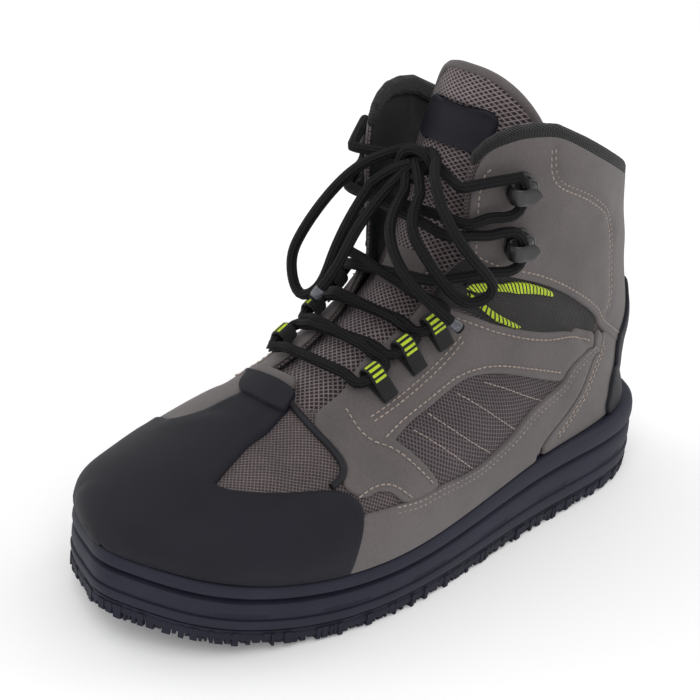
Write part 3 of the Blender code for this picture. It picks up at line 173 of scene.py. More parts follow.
# Driving sizes, the same as the solids have
SOLE_LENGTH = 0.312
SOLE_WIDTH = 0.121
LATERAL = SOLE_WIDTH * 0.484
MEDIAL = SOLE_WIDTH - LATERAL
RAND_HEIGHT_FORE = 0.0262
RAND_HEIGHT_HEEL = 0.034
TOE_SPRING = 0.014
SPRING_END = 0.28
FEATHER_INSET = 0.0034
HEEL_INSET = 0.0095
COLLAR_HEIGHT = 0.186
SEAT_GAP = 0.0003
UPPER_WALL = 0.0022
LAID = (0.00045, 0.0017)
CAP_TOP = 0.00215
QUARTER_TOP = 0.0014
HEEL_TOP = 0.0015
BAND_TOP = 0.0020
OVERLAP = 0.0010
UNDER_CAP = 0.010
COUNTER = (0.0021, 0.0032)
BINDING = (-0.0042, 0.0016)
LACE_RADIUS = 0.0022
LACE_STEP = 0.0060
LACE_CLEAR = 0.0017
LACE_BULGE = np.array([0, -0.022, 0.010])
PULL_ROUNDS = 400
AGLET_RADIUS = 0.00245
EYE_RADIUS = 0.0030
EYE_REACH = 0.0072
TRIM = LAID[1] + 0.0003
SAMPLES = 200
NUDGE = 0.0015
CHUNK = 3000
MILLIMETRE = 0.001
TINY = 1e-12

OUTLINE = np.array([
    (0.000, 0.000, 0.000),
    (0.015, 0.210, 0.190),
    (0.060, 0.550, 0.620),
    (0.130, 0.775, 0.850),
    (0.220, 0.920, 0.985),
    (0.320, 1.000, 0.990),
    (0.420, 0.985, 0.880),
    (0.550, 0.900, 0.720),
    (0.680, 0.820, 0.660),
    (0.800, 0.775, 0.690),
    (0.900, 0.670, 0.660),
    (0.965, 0.445, 0.440),
    (1.000, 0.000, 0.000),
])

ROWS = np.array([
    (-0.4891, 0.215, 0.000, 0.000, 0.000, 2.30, 2.20, 2.20),
    (-0.4808, 0.264, 0.010, 0.107, 0.107, 2.30, 2.00, 2.20),
    (-0.4551, 0.300, 0.040, 0.223, 0.237, 2.30, 1.90, 2.20),
    (-0.4071, 0.326, 0.095, 0.339, 0.364, 2.30, 1.80, 2.20),
    (-0.3365, 0.350, 0.170, 0.417, 0.450, 2.30, 1.75, 2.20),
    (-0.2564, 0.391, 0.260, 0.463, 0.488, 2.20, 1.70, 2.20),
    (-0.1795, 0.441, 0.370, 0.471, 0.458, 2.10, 1.70, 2.10),
    (-0.1090, 0.503, 0.500, 0.442, 0.398, 2.00, 1.80, 2.00),
    (-0.0550, 0.572, 0.660, 0.392, 0.362, 2.00, 1.90, 2.00),
    (-0.0390, 0.650, 0.850, 0.350, 0.336, 2.20, 2.10, 2.00),
    (-0.0400, 0.718, 0.965, 0.326, 0.320, 2.40, 2.30, 1.95),
    (-0.0450, 0.778, 1.080, 0.318, 0.316, 2.60, 2.50, 1.90),
    (-0.0490, 0.860, 1.330, 0.318, 0.316, 2.70, 2.70, 1.90),
    (-0.0470, 0.970, 1.640, 0.326, 0.324, 2.80, 2.80, 1.90),
    (-0.0390, 1.120, 2.000, 0.338, 0.336, 2.80, 2.80, 1.90),
])

BACK = np.array([
    (0.00, 0.4695, 0.1845),
    (0.12, 0.4740, 0.2470),
    (0.35, 0.4640, 0.3760),
    (0.62, 0.4320, 0.5270),
    (0.82, 0.4090, 0.6450),
    (1.00, 0.3900, 0.8060),
])

TONGUE = np.array([
    (-0.2690, 0.362, 0.170, 0.050),
    (-0.2050, 0.397, 0.200, 0.065),
    (-0.1410, 0.446, 0.215, 0.075),
    (-0.0800, 0.505, 0.210, 0.095),
    (-0.0340, 0.573, 0.198, 0.118),
    (-0.0020, 0.648, 0.205, 0.155),
    (0.0220, 0.735, 0.225, 0.170),
    (0.0400, 0.820, 0.242, 0.180),
    (0.0560, 0.905, 0.258, 0.188),
    (0.0720, 0.990, 0.252, 0.196),
    (0.0840, 1.072, 0.240, 0.196),
])

COLLAR = np.array([
    (0.172, 0.918),
    (0.198, 0.937),
    (0.230, 0.951),
    (0.280, 0.965),
    (0.344, 0.975),
    (0.407, 0.981),
    (0.520, 0.982),
    (0.700, 0.982),
    (1.000, 0.982),
])

SLOT = np.array([
    (0.400, 0.110),
    (0.404, 0.185),
    (0.440, 0.195),
    (0.480, 0.152),
    (0.526, 0.145),
    (0.580, 0.145),
    (0.622, 0.132),
    (0.700, 0.150),
    (0.772, 0.164),
    (0.850, 0.162),
    (0.918, 0.172),
])

TOE_CAP = np.array([
    (0.355, 0.975), (0.357, 0.876), (0.366, 0.774), (0.372, 0.703), (0.371, 0.643), (0.361, 0.591),
    (0.346, 0.551), (0.308, 0.489), (0.274, 0.410), (0.256, 0.337), (0.251, 0.277), (0.275, 0.223),
    (0.313, 0.162), (0.344, 0.141), (0.368, 0.121), (0.384, 0.108), (0.393, 0.085), (0.395, 0.000),
    (0.393, -0.120), (0.384, -0.165), (0.350, -0.250), (0.320, -0.360), (0.325, -0.500),
    (0.345, -0.700), (0.362, -0.860), (0.365, -0.975),
])

QUARTER_FRONT_LATERAL = np.array([
    (0.403, 0.215), (0.390, 0.260), (0.387, 0.318), (0.387, 0.403), (0.385, 0.478), (0.379, 0.520),
    (0.369, 0.556), (0.370, 0.590), (0.379, 0.637), (0.384, 0.643), (0.397, 0.638), (0.411, 0.663),
    (0.420, 0.710), (0.425, 0.745), (0.444, 0.757), (0.466, 0.758),
])

QUARTER_FRONT_MEDIAL = np.array([
    (0.403, 0.205), (0.390, 0.192), (0.356, 0.268), (0.327, 0.366), (0.331, 0.500), (0.345, 0.640),
    (0.353, 0.700), (0.400, 0.730), (0.444, 0.757), (0.466, 0.758),
])

QUARTER_REST = np.array([
    (0.464, 0.712), (0.458, 0.628), (0.451, 0.561), (0.443, 0.490), (0.477, 0.458), (0.506, 0.448),
    (0.541, 0.434), (0.566, 0.435), (0.588, 0.461), (0.610, 0.520), (0.630, 0.602), (0.646, 0.666),
    (0.668, 0.640), (0.736, 0.620), (0.784, 0.616), (0.768, 0.536), (0.708, 0.486), (0.672, 0.408),
    (0.650, 0.333), (0.640, 0.276), (0.627, 0.212), (0.620, 0.145), (0.580, 0.158), (0.526, 0.158),
    (0.480, 0.165), (0.440, 0.209), (0.410, 0.212),
])

BAND_FRONT_LATERAL = np.array([(0.359, 0.975), (0.361, 0.876), (0.371, 0.774), (0.377, 0.722)])

BAND_FRONT_MEDIAL = np.array([(0.370, 0.975), (0.367, 0.860), (0.357, 0.760), (0.356, 0.716)])

BAND_REST = np.array([
    (0.400, 0.744), (0.444, 0.771), (0.472, 0.779), (0.511, 0.807), (0.538, 0.800), (0.568, 0.767),
    (0.599, 0.719), (0.642, 0.687), (0.668, 0.655), (0.736, 0.636), (0.788, 0.633), (0.796, 0.645),
    (0.794, 0.658), (0.732, 0.664), (0.677, 0.722), (0.638, 0.783), (0.611, 0.839), (0.585, 0.910),
    (0.573, 0.975),
])

HEEL_HALF = np.array([
    (0.768, 1.000), (0.762, 0.984), (0.750, 0.974), (0.700, 0.975), (0.581, 0.975), (0.590, 0.921),
    (0.617, 0.848), (0.644, 0.793), (0.682, 0.733), (0.736, 0.676), (0.797, 0.670), (0.801, 0.700),
    (0.801, 1.000),
])

COUNTER_HALF = np.array([
    (0.768, 1.000), (0.762, 0.984), (0.750, 0.974), (0.700, 0.975), (0.655, 0.975), (0.662, 0.940),
    (0.677, 0.900), (0.723, 0.815), (0.760, 0.785), (0.790, 0.775), (0.830, 0.790), (0.870, 0.820),
    (0.895, 0.870), (0.902, 1.000),
])

SHAFT_HALF = np.array([
    (0.808, 1.000), (0.808, 0.640), (0.817, 0.612), (0.821, 0.555), (0.820, 0.467), (0.806, 0.354),
    (0.786, 0.271), (0.774, 0.178), (0.850, 0.176), (0.914, 0.186), (0.934, 0.208), (0.948, 0.238),
    (0.962, 0.286), (0.972, 0.346), (0.978, 0.407), (0.979, 0.520), (0.979, 0.700), (0.979, 1.000),
])

ELASTIC_UPPER = np.array([
    (0.686, 0.200), (0.700, 0.196), (0.760, 0.262), (0.794, 0.340), (0.808, 0.425), (0.799, 0.432),
    (0.780, 0.360), (0.740, 0.288), (0.696, 0.240),
])

ELASTIC_LOWER = np.array([
    (0.682, 0.214), (0.688, 0.240), (0.678, 0.300), (0.680, 0.352), (0.684, 0.405), (0.673, 0.398),
    (0.663, 0.345), (0.660, 0.300), (0.668, 0.240),
])
# a, b of the lace loops, hooks and drain holes
WEB_AT = [(0.474, 0.285), (0.526, 0.262), (0.580, 0.242)]
HOOK_AT = [(0.850, 0.292), (0.924, 0.290)]
DRAINS = [(0.492, -0.885), (0.548, -0.885)]
DRAIN_RADIUS = 0.0032

# Soft creases: height, half width, a and b along the line; both sides of the boot have them
CREASES = [
    (-0.0007, 0.0050, [(0.398, 0.300), (0.410, 0.430), (0.420, 0.580), (0.426, 0.690)]),
    (0.0005, 0.0060, [(0.425, 0.290), (0.436, 0.420), (0.446, 0.560)]),
    (-0.0006, 0.0050, [(0.352, 0.050), (0.345, 0.200), (0.338, 0.330), (0.330, 0.440)]),
    (0.0005, 0.0060, [(0.320, 0.060), (0.315, 0.220), (0.306, 0.360)]),
    (-0.0012, 0.0075, [(0.655, 0.200), (0.678, 0.300), (0.705, 0.390), (0.745, 0.470), (0.775, 0.560)]),
    (0.0008, 0.0070, [(0.610, 0.300), (0.640, 0.420), (0.680, 0.520), (0.720, 0.590)]),
    (-0.0008, 0.0060, [(0.800, 0.640), (0.803, 0.760), (0.800, 0.880), (0.795, 1.000)]),
    (0.0007, 0.0080, [(0.850, 0.640), (0.855, 0.800), (0.852, 1.000)]),
    (-0.0006, 0.0060, [(0.860, 0.380), (0.852, 0.480), (0.868, 0.580)]),
    (0.0013, 0.0100, [(0.962, 0.430), (0.966, 0.520), (0.962, 0.620)]),
    (0.0009, 0.0090, [(0.940, 0.720), (0.945, 0.860), (0.945, 1.000)]),
    (-0.0005, 0.0050, [(0.560, 0.300), (0.530, 0.360), (0.500, 0.380)]),
    (0.0006, 0.0090, [(0.540, 0.560), (0.560, 0.640), (0.570, 0.700)]),
    (-0.0005, 0.0060, [(0.630, 0.880), (0.660, 0.850), (0.700, 0.840)]),
]

# Seams: a and b along the line, whether it has two rows, and how deep it draws the panel in
SEAMS = {
    "cuff": ([(0.976, 0.388), (0.966, 0.389), (0.954, 0.400), (0.950, 0.435), (0.953, 0.505), (0.953, 0.588),
              (0.947, 0.645), (0.928, 0.672), (0.900, 0.676), (0.850, 0.672), (0.830, 0.660)], True, 0.0006),
    "eyestay": ([(0.440, 0.378), (0.487, 0.370), (0.526, 0.355), (0.574, 0.326), (0.606, 0.300)],
                True, 0.0004),
    "front": ([(0.428, 0.272), (0.421, 0.394), (0.427, 0.470), (0.436, 0.512), (0.454, 0.665),
               (0.462, 0.745)], False, 0.0003),
    "window_top": ([(0.438, 0.470), (0.472, 0.444), (0.506, 0.433), (0.541, 0.419), (0.566, 0.420),
                    (0.594, 0.446), (0.618, 0.505), (0.642, 0.590), (0.656, 0.640)], False, 0.0003),
    "quarter_top": ([(0.612, 0.160), (0.618, 0.216), (0.629, 0.282), (0.640, 0.345), (0.660, 0.420),
                     (0.697, 0.500), (0.755, 0.556), (0.768, 0.600)], False, 0.0003),
    "shaft_foot": ([(0.784, 0.182), (0.796, 0.268), (0.816, 0.350), (0.829, 0.466), (0.830, 0.560),
                    (0.826, 0.616), (0.818, 0.645), (0.818, 0.820), (0.818, 1.000)], False, 0.0003),
    "shaft_front": ([(0.784, 0.190), (0.850, 0.190), (0.912, 0.198), (0.930, 0.220)], False, 0.0003),
    "band_top": ([(0.409, 0.758), (0.444, 0.786), (0.472, 0.794), (0.511, 0.822), (0.540, 0.815),
                  (0.572, 0.782), (0.604, 0.733), (0.645, 0.700), (0.672, 0.669), (0.736, 0.649),
                  (0.776, 0.647)], True, 0.0003),
    "heel": ([(0.600, 0.930), (0.626, 0.856), (0.652, 0.803), (0.688, 0.744), (0.740, 0.690), (0.786, 0.684)],
             True, 0.0004),
    "small_window": ([(0.372, 0.640), (0.384, 0.630), (0.398, 0.626), (0.417, 0.655), (0.427, 0.706),
                      (0.432, 0.740)], False, 0.0003),
}
# Seams of panels that reach round the back seam
PAST_BACK = ("cuff", "shaft_foot", "shaft_front", "heel")
WINDOW_LINES = [
    [(0.577, 0.492), (0.590, 0.560), (0.600, 0.630), (0.611, 0.704)],
    [(0.542, 0.470), (0.553, 0.564), (0.571, 0.760)],
    [(0.499, 0.475), (0.515, 0.614), (0.538, 0.793)],
    [(0.473, 0.499), (0.493, 0.643), (0.512, 0.796)],
]
PIPING = [(0.3905, 0.110), (0.3865, 0.180), (0.3835, 0.244), (0.3815, 0.318), (0.3805, 0.404),
          (0.3785, 0.470), (0.3735, 0.512), (0.3635, 0.536), (0.3520, 0.548)]


def slopes(x, y):
    step = np.diff(x)
    rate = np.diff(y) / step
    slope = np.zeros(len(x))
    slope[0], slope[-1] = rate[0], rate[-1]
    before = 2 * step[1:] + step[:-1]
    after = step[1:] + 2 * step[:-1]
    same = rate[:-1] * rate[1:] > 0
    mean = np.where(same, before / np.where(same, rate[:-1], 1) + after / np.where(same, rate[1:], 1), 1)
    slope[1:-1] = np.where(same, (before + after) / mean, 0)
    return slope


def level(x, y, at):
    """Smooth curve through the points that never overshoots them."""
    at = np.clip(at, x[0], x[-1])
    slope = slopes(x, y)
    i = np.clip(np.searchsorted(x, at, side="right") - 1, 0, len(x) - 2)
    step = x[i + 1] - x[i]
    t = (at - x[i]) / step
    return ((2 * t + 1) * (t - 1) ** 2 * y[i] + t * (t - 1) ** 2 * step * slope[i]
            + t * t * (3 - 2 * t) * y[i + 1] + t * t * (t - 1) * step * slope[i + 1])


def natural(x, y, at):
    """Natural spline; y may have several columns."""
    n = len(x)
    step = np.diff(x)
    matrix = np.eye(n)
    right = np.zeros((n,) + y.shape[1:])
    for i in range(1, n - 1):
        matrix[i, i - 1], matrix[i, i], matrix[i, i + 1] = step[i - 1], 2 * (step[i - 1] + step[i]), step[i]
        right[i] = 3 * ((y[i + 1] - y[i]) / step[i] - (y[i] - y[i - 1]) / step[i - 1])
    bend = np.linalg.solve(matrix, right)
    at = np.clip(at, x[0], x[-1])
    i = np.clip(np.searchsorted(x, at, side="right") - 1, 0, n - 2)
    t, gap = at - x[i], step[i]
    if y.ndim > 1:
        t, gap = t[..., None], gap[..., None]
    slope = (y[i + 1] - y[i]) / gap - gap * (2 * bend[i] + bend[i + 1]) / 3
    return y[i] + slope * t + bend[i] * t * t + (bend[i + 1] - bend[i]) / (3 * gap) * t ** 3


def turn(share):
    return np.arccos(np.clip(1 - 2 * np.asarray(share, float), -1, 1))


def ease(low, high, at):
    t = np.clip((np.asarray(at, float) - low) / (high - low), 0, 1)
    return t * t * (3 - 2 * t)


def half_width(share, side):
    both = natural(turn(OUTLINE[:, 0]), OUTLINE[:, 1:], turn(share))
    return np.where(np.asarray(side) > 0, both[..., 0] * LATERAL, both[..., 1] * MEDIAL)


def spring(share):
    return TOE_SPRING * np.clip((SPRING_END - np.asarray(share)) / SPRING_END, 0, 1) ** 2


def rand_height(share):
    rise = RAND_HEIGHT_HEEL - RAND_HEIGHT_FORE
    return RAND_HEIGHT_FORE + rise * ease(0.30, 0.75, share) + spring(share)


def feather(share, side, fore=FEATHER_INSET, heel=HEEL_INSET):
    """Line where the upper meets the sole, set in from the sole outline."""
    inset = fore + (heel - fore) * ease(0.55, 0.95, share)
    full = np.where(np.asarray(side) > 0, LATERAL, MEDIAL)
    x = half_width(share, side) * (1 - inset / full)
    y = SOLE_LENGTH * (share - 0.5) + fore * (1 - share) - heel * share
    return np.stack([x, y, rand_height(share) + SEAT_GAP], -1)


ROWS[0, :2] = feather(0.0, 1)[1:] / (SOLE_LENGTH, COLLAR_HEIGHT)
KNOTS = np.arange(len(ROWS)) / (len(ROWS) - 1)
EDGE = np.where(ROWS[:, 2] <= 1, turn(np.minimum(ROWS[:, 2], 1)) / np.pi, ROWS[:, 2])
SCAN = np.linspace(0, 1, 4001)
BACK_START = float(np.interp(1.0, level(KNOTS, EDGE, SCAN), SCAN))


def form_part(a, b):
    b = np.where(b > 1 + 1e-6, b - 2, b)
    side = np.where(b >= 0, 1, -1)
    row = natural(KNOTS, ROWS, a)
    e = level(KNOTS, EDGE, a)
    edge = np.where(e <= 1, (1 - np.cos(np.pi * np.clip(e, 0, 1))) / 2, e)
    end = feather(np.clip(edge, 0, 1), side)
    back = natural(BACK[:, 0], BACK[:, 1:], np.clip(edge - 1, 0, 1))
    on_back = edge > 1
    end_x = np.where(on_back, 0, end[:, 0])
    end_y = np.where(on_back, back[:, 0] * SOLE_LENGTH, end[:, 1])
    end_z = np.where(on_back, back[:, 1] * COLLAR_HEIGHT, end[:, 2])
    wide = np.where(side > 0, row[:, 3], row[:, 4]) * SOLE_WIDTH
    wide = np.maximum(wide, end_x * 1.004 + 1e-9)
    front = np.where(side > 0, row[:, 5], row[:, 6])
    stop = np.pi - np.arcsin(np.clip(end_x / wide, 0, 1) ** (row[:, 7] / 2))
    psi = np.linspace(0, 1, SAMPLES) * stop[:, None]
    power = np.where(psi < np.pi / 2, front[:, None], row[:, 7][:, None])
    x = wide[:, None] * np.abs(np.sin(psi)) ** (2 / power)
    x[:, 0] = 0
    way = (1 - np.cos(psi)) / (1 - np.cos(stop))[:, None]
    top_y, top_z = row[:, 0] * SOLE_LENGTH, row[:, 1] * COLLAR_HEIGHT
    y = top_y[:, None] + (end_y - top_y)[:, None] * way
    z = top_z[:, None] + (end_z - top_z)[:, None] * way
    step = np.sqrt(np.diff(x) ** 2 + np.diff(y) ** 2 + np.diff(z) ** 2)
    run = np.concatenate([np.zeros((len(a), 1)), np.cumsum(step, 1)], 1)
    want = np.abs(b) * run[:, -1]
    k = np.clip((run < want[:, None]).sum(1) - 1, 0, SAMPLES - 2)
    r = np.arange(len(a))
    part = (want - run[r, k]) / np.maximum(run[r, k + 1] - run[r, k], 1e-12)
    out = [v[r, k] + (v[r, k + 1] - v[r, k]) * part for v in (x, y, z)]
    return np.stack([out[0] * side, out[1], out[2]], -1)


def form(a, b):
    """Last shape. a runs from the toe tip to the collar, b from the medial edge to the lateral one.
    Past 1, b carries on around the back seam."""
    a, b = np.broadcast_arrays(np.asarray(a, float), np.asarray(b, float))
    flat_a, flat_b = a.ravel(), b.ravel()
    parts = [form_part(flat_a[k:k + CHUNK], flat_b[k:k + CHUNK]) for k in range(0, len(flat_a), CHUNK)]
    return np.concatenate(parts).reshape(a.shape + (3,))


def tongue(t, v):
    """Front face of the tongue. t runs from its foot to its top, v from the medial to the lateral edge."""
    t, v = np.broadcast_arrays(np.asarray(t, float), np.asarray(v, float))
    knots = np.arange(len(TONGUE)) / (len(TONGUE) - 1)
    row = natural(knots, TONGUE, t)
    after = natural(knots, TONGUE, np.minimum(t + NUDGE, 1))
    before = natural(knots, TONGUE, np.maximum(t - NUDGE, 0))
    size = np.array([SOLE_LENGTH, COLLAR_HEIGHT])
    along = (after - before)[..., :2] * size
    along /= np.linalg.norm(along, axis=-1, keepdims=True)
    lie = row[..., 3] * SOLE_WIDTH * np.abs(v) ** 2
    y = row[..., 0] * SOLE_LENGTH + along[..., 1] * lie
    z = row[..., 1] * COLLAR_HEIGHT - along[..., 0] * lie
    return np.stack([row[..., 2] * SOLE_WIDTH * v, y, z], -1)


def normal(surface, p, q):
    """Outward normals by small steps across the surface."""
    up = surface(np.clip(p + NUDGE, 0, 1), q)
    down = surface(np.clip(p - NUDGE, 0, 1), q)
    n = np.cross(surface(p, q + NUDGE) - surface(p, q - NUDGE), up - down)
    return n / np.maximum(np.linalg.norm(n, axis=-1, keepdims=True), 1e-15)


def form_normal(a, b):
    a, b = np.broadcast_arrays(np.asarray(a, float), np.asarray(b, float))
    inside = np.where(a < BACK_START, np.clip(b, -1 + NUDGE, 1 - NUDGE), b)
    inside = np.where((a < BACK_START) & (b > 1), np.maximum(b, 1 + 2 * NUDGE), inside)
    inside = np.where((a >= BACK_START) & (b < -1 + NUDGE), b + 2, inside)
    return normal(form, np.clip(a, NUDGE, 1 - NUDGE), inside)


def tongue_normal(t, v):
    return normal(tongue, np.clip(t, NUDGE, 1 - NUDGE), np.asarray(v, float))


# Flat chart of the upper in metres: run along the boot, girth across it
CHART_A = np.linspace(0, 1, 161)
CHART_GRID = form(CHART_A[:, None], np.linspace(0, 1, 61)[None, :])
GIRTH = np.linalg.norm(np.diff(CHART_GRID, axis=1), axis=2).sum(1) + 0.004
RUN_STEP = np.linalg.norm(np.diff(CHART_GRID[:, ::15], axis=0), axis=2).mean(1)
RUN = np.concatenate([[0], np.cumsum(RUN_STEP)])
TONGUE_LONG = 0.172
TONGUE_WIDE = 0.0275
TONGUE_FALL = 0.115
# Half width, half height and corner radius
BADGE = (0.0152, 0.0096, 0.0045)
BADGE_AT = 0.845


def form_chart(ab):
    ab = np.asarray(ab, float)
    girth = np.interp(ab[..., 0], CHART_A, GIRTH)
    return np.stack([np.interp(ab[..., 0], CHART_A, RUN), ab[..., 1] * girth], -1)


def form_unchart(uv):
    a = np.interp(uv[..., 0], RUN, CHART_A)
    return np.stack([a, uv[..., 1] / np.interp(a, CHART_A, GIRTH)], -1)


def tongue_chart(tv):
    return np.asarray(tv, float) * (TONGUE_LONG, TONGUE_WIDE)


def tongue_unchart(uv):
    return uv / (TONGUE_LONG, TONGUE_WIDE)


def line_distance(points, line):
    """Distance from points to a polyline in the flat chart."""
    start, way = line[:-1], np.diff(line, axis=0)
    size = np.maximum((way ** 2).sum(1), 1e-18)
    t = np.clip(((points[:, None] - start) * way).sum(2) / size, 0, 1)
    gap = points[:, None] - start - t[..., None] * way
    return np.sqrt((gap ** 2).sum(2).min(1))


def seam_line(name):
    return spline(form_chart(SEAMS[name][0]), 0.002)


def lengths(line):
    """Length along a line at each of its points."""
    return np.concatenate([[0], np.cumsum(np.linalg.norm(np.diff(line, axis=0), axis=1))])


def unit(vectors):
    return vectors / np.maximum(np.linalg.norm(vectors, axis=-1, keepdims=True), TINY)


def tree_of(points):
    tree = KDTree(len(points))
    for k, p in enumerate(points):
        tree.insert(p, k)
    tree.balance()
    return tree


def spline(points, step):
    """Even points on a smooth curve through the given ones."""
    points = np.asarray(points, float)
    knots = np.concatenate([[0], np.cumsum(np.sqrt(np.linalg.norm(np.diff(points, axis=0), axis=1)))])
    fine = natural(knots, points, np.linspace(0, knots[-1], 40 * len(points)))
    run = lengths(fine)
    at = np.linspace(0, run[-1], max(2, int(round(run[-1] / step)) + 1))
    return np.stack([np.interp(at, run, fine[:, k]) for k in range(points.shape[1])], -1)


CREASE_LINES = [(height, wide, spline(form_chart(line), 0.004)) for height, wide, line in CREASES]
SEAM_LINES = {name: seam_line(name) for name in SEAMS}
SEAM_HALF = 0.0016
SEAM_REACH = 0.005
DOUBLE_SEAM = 1.5
CREASE_REACH = 3
ROW_GAP = 0.0011


def folded(b):
    """Both sides and the part past the back seam share one half."""
    b = np.abs(b)
    return np.where(b > 1, 2 - b, b)


def relief(ab):
    """Height of the creases and of the drawn in seams over the last."""
    uv = form_chart(np.stack([ab[:, 0], folded(ab[:, 1])], -1))
    height = np.zeros(len(uv))
    for rise, wide, line in CREASE_LINES:
        near = (np.abs(uv - line.mean(0)) < np.ptp(line, axis=0) / 2 + CREASE_REACH * wide).all(1)
        if near.any():
            height[near] += rise * np.exp(-(line_distance(uv[near], line) / wide) ** 2)
    for name, line in SEAM_LINES.items():
        middle = (line.min(0) + line.max(0)) / 2
        near = (np.abs(uv - middle) < np.ptp(line, axis=0) / 2 + SEAM_REACH).all(1)
        if near.any():
            _, is_double, depth = SEAMS[name]
            wide = SEAM_HALF * (DOUBLE_SEAM if is_double else 1.0)
            height[near] -= depth * np.exp(-(line_distance(uv[near], line) / wide) ** 2)
    return height


def at_form(ab, lift):
    ab = np.asarray(ab, float)
    n = form_normal(ab[:, 0], ab[:, 1])
    return form(ab[:, 0], ab[:, 1]) + n * (relief(ab) + lift)[:, None], n


def at_tongue(tv, lift):
    n = tongue_normal(tv[:, 0], tv[:, 1])
    return tongue(tv[:, 0], tv[:, 1]) + n * np.reshape(lift, (-1, 1)), n


FORM = (at_form, form_chart, form_unchart)
TONGUE_FACE = (at_tongue, tongue_chart, tongue_unchart)


def area(polygon):
    x, y = polygon[:, 0], polygon[:, 1]
    return float((x * np.roll(y, -1) - y * np.roll(x, -1)).sum() / 2)


def inside_loop(points, loop):
    x, y = points[:, 0][:, None], points[:, 1][:, None]
    ax, ay = loop[:, 0], loop[:, 1]
    bx, by = np.roll(ax, -1), np.roll(ay, -1)
    across = (ay > y) != (by > y)
    hit = x < (bx - ax) * (y - ay) / np.where(by == ay, 1e-30, by - ay) + ax
    return (across & hit).sum(1) % 2 == 1


def outward(loop):
    way = np.roll(loop, -1, 0) - np.roll(loop, 1, 0)
    side = unit(np.stack([way[:, 1], -way[:, 0]], -1))
    return side if area(loop) > 0 else -side


PLANE = np.array([0.40, 0.16])
CORNER = 0.75
SHARP_BEND = 0.0002
LOOP_STEP = 0.0017
INNER_RIM = 0.28
RIM_CLEAR = 0.22
GRID_CLEAR = 0.45
SAME_PLACE = 0.00002
FLAT_TOLERANCE = 1e-7
BACK_SEAM_NEAR = 0.95
BACK_SEAM_FOOT = 0.02


def smooth_loop(loop, step):
    """Even points round an outline in a, b: curved through its points, straight to its sharp corners."""
    points = np.asarray(loop, float) * PLANE
    before = points - np.roll(points, 1, 0)
    after = np.roll(points, -1, 0) - points
    cross = before[:, 0] * after[:, 1] - before[:, 1] * after[:, 0]
    bends = np.abs(np.arctan2(cross, (before * after).sum(1)))
    corners = list(np.flatnonzero(bends > CORNER)) or [0]
    out = []
    for k, first in enumerate(corners):
        last = corners[(k + 1) % len(corners)]
        count = (last - first) % len(points) or len(points)
        section = points[[(first + i) % len(points) for i in range(count + 1)]]
        out.append(spline(section, step)[:-1])
    return np.concatenate(out) / PLANE


def rounded_corners(loop, passes=2):
    for _ in range(passes):
        middle = (np.roll(loop, 1, 0) + np.roll(loop, -1, 0)) / 2
        bend = np.linalg.norm(loop - middle, axis=1)
        loop = np.where((bend > SHARP_BEND)[:, None], (loop + middle) / 2, loop)
    return loop


def add(name, points, faces, paints, slot=None, replaces=(), uvs=None, paint_of=None, crisp=50.0):
    """Puts a mesh piece in the boot's frame, on its body, with its faces outwards."""
    points = np.asarray(points, float)
    volume = 0.0
    for f in faces:
        for k in range(1, len(f) - 1):
            volume += float(points[f[0]] @ np.cross(points[f[k]], points[f[k + 1]]))
    if volume < 0:
        faces = [f[::-1] for f in faces]
        uvs = None if uvs is None else [u[::-1] for u in uvs]
    mesh = bpy.data.meshes.new(name)
    mesh.from_pydata((points + (SHIFT, 0, 0)).tolist(), [], [tuple(int(k) for k in f) for f in faces])
    for paint in paints:
        mesh.materials.append(paint)
    mesh.polygons.foreach_set("use_smooth", np.ones(len(faces), bool))
    if paint_of is not None:
        mesh.polygons.foreach_set("material_index", np.asarray(paint_of, np.int32))
    if uvs is not None:
        layer = mesh.uv_layers.new(name="UVMap")
        layer.data.foreach_set("uv", np.concatenate([np.asarray(u, float) for u in uvs]).ravel())
    mesh.set_sharp_from_angle(angle=np.radians(crisp))
    mesh.update()
    piece = bpy.data.objects.new(name, mesh)
    bpy.context.scene.collection.objects.link(piece)
    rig.ride(piece, "root")
    if slot:
        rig.slot(piece, slot)
    if replaces:
        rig.replaces(piece, *replaces)
    return piece


def merge(points):
    """Index of the first point at each place."""
    tree = tree_of(points)
    return np.array([min(index for _, index, _ in tree.find_range(p, SAME_PLACE)) for p in points])


def inside_panel(points, loops):
    """Whether points are inside the outline, the first loop, and outside its holes."""
    keep = inside_loop(points, loops[0])
    for hole in loops[1:]:
        keep &= ~inside_loop(points, hole)
    return keep


def rim_distance(points, loops):
    return np.min([line_distance(points, np.concatenate([loop, loop[:1]])) for loop in loops], axis=0)


def guide_lines(loops, edge, seams):
    """Lines that the mesh follows: closed ones inside each rim, open ones along each seam."""
    lines = []
    for k, loop in enumerate(loops):
        sign = 1 if k == 0 else -1
        for inset in (edge * INNER_RIM, edge):
            lines.append((loop - sign * outward(loop) * inset, True))
    for seam in seams:
        way = np.gradient(seam, axis=0)
        side = unit(np.stack([-way[:, 1], way[:, 0]], -1))
        for shift in (-SEAM_HALF, 0, SEAM_HALF):
            lines.append((seam + side * shift, False))
    return lines


def fixed_points(loops, lines, edge):
    """Points and edges of the rims, and of the guide lines where they lie on the panel."""
    points, edges, first = [], [], 0
    for loop in loops:
        points.append(loop)
        edges += [(first + k, first + (k + 1) % len(loop)) for k in range(len(loop))]
        first += len(loop)
    for line, ring in lines:
        keep = inside_panel(line, loops) & (rim_distance(line, loops) > edge * RIM_CLEAR)
        index = np.full(len(line), -1)
        index[keep] = first + np.arange(keep.sum())
        points.append(line[keep])
        first += int(keep.sum())
        for k in range(len(line) if ring else len(line) - 1):
            m = (k + 1) % len(line)
            if index[k] >= 0 and index[m] >= 0:
                edges.append((int(index[k]), int(index[m])))
    return np.concatenate(points), edges


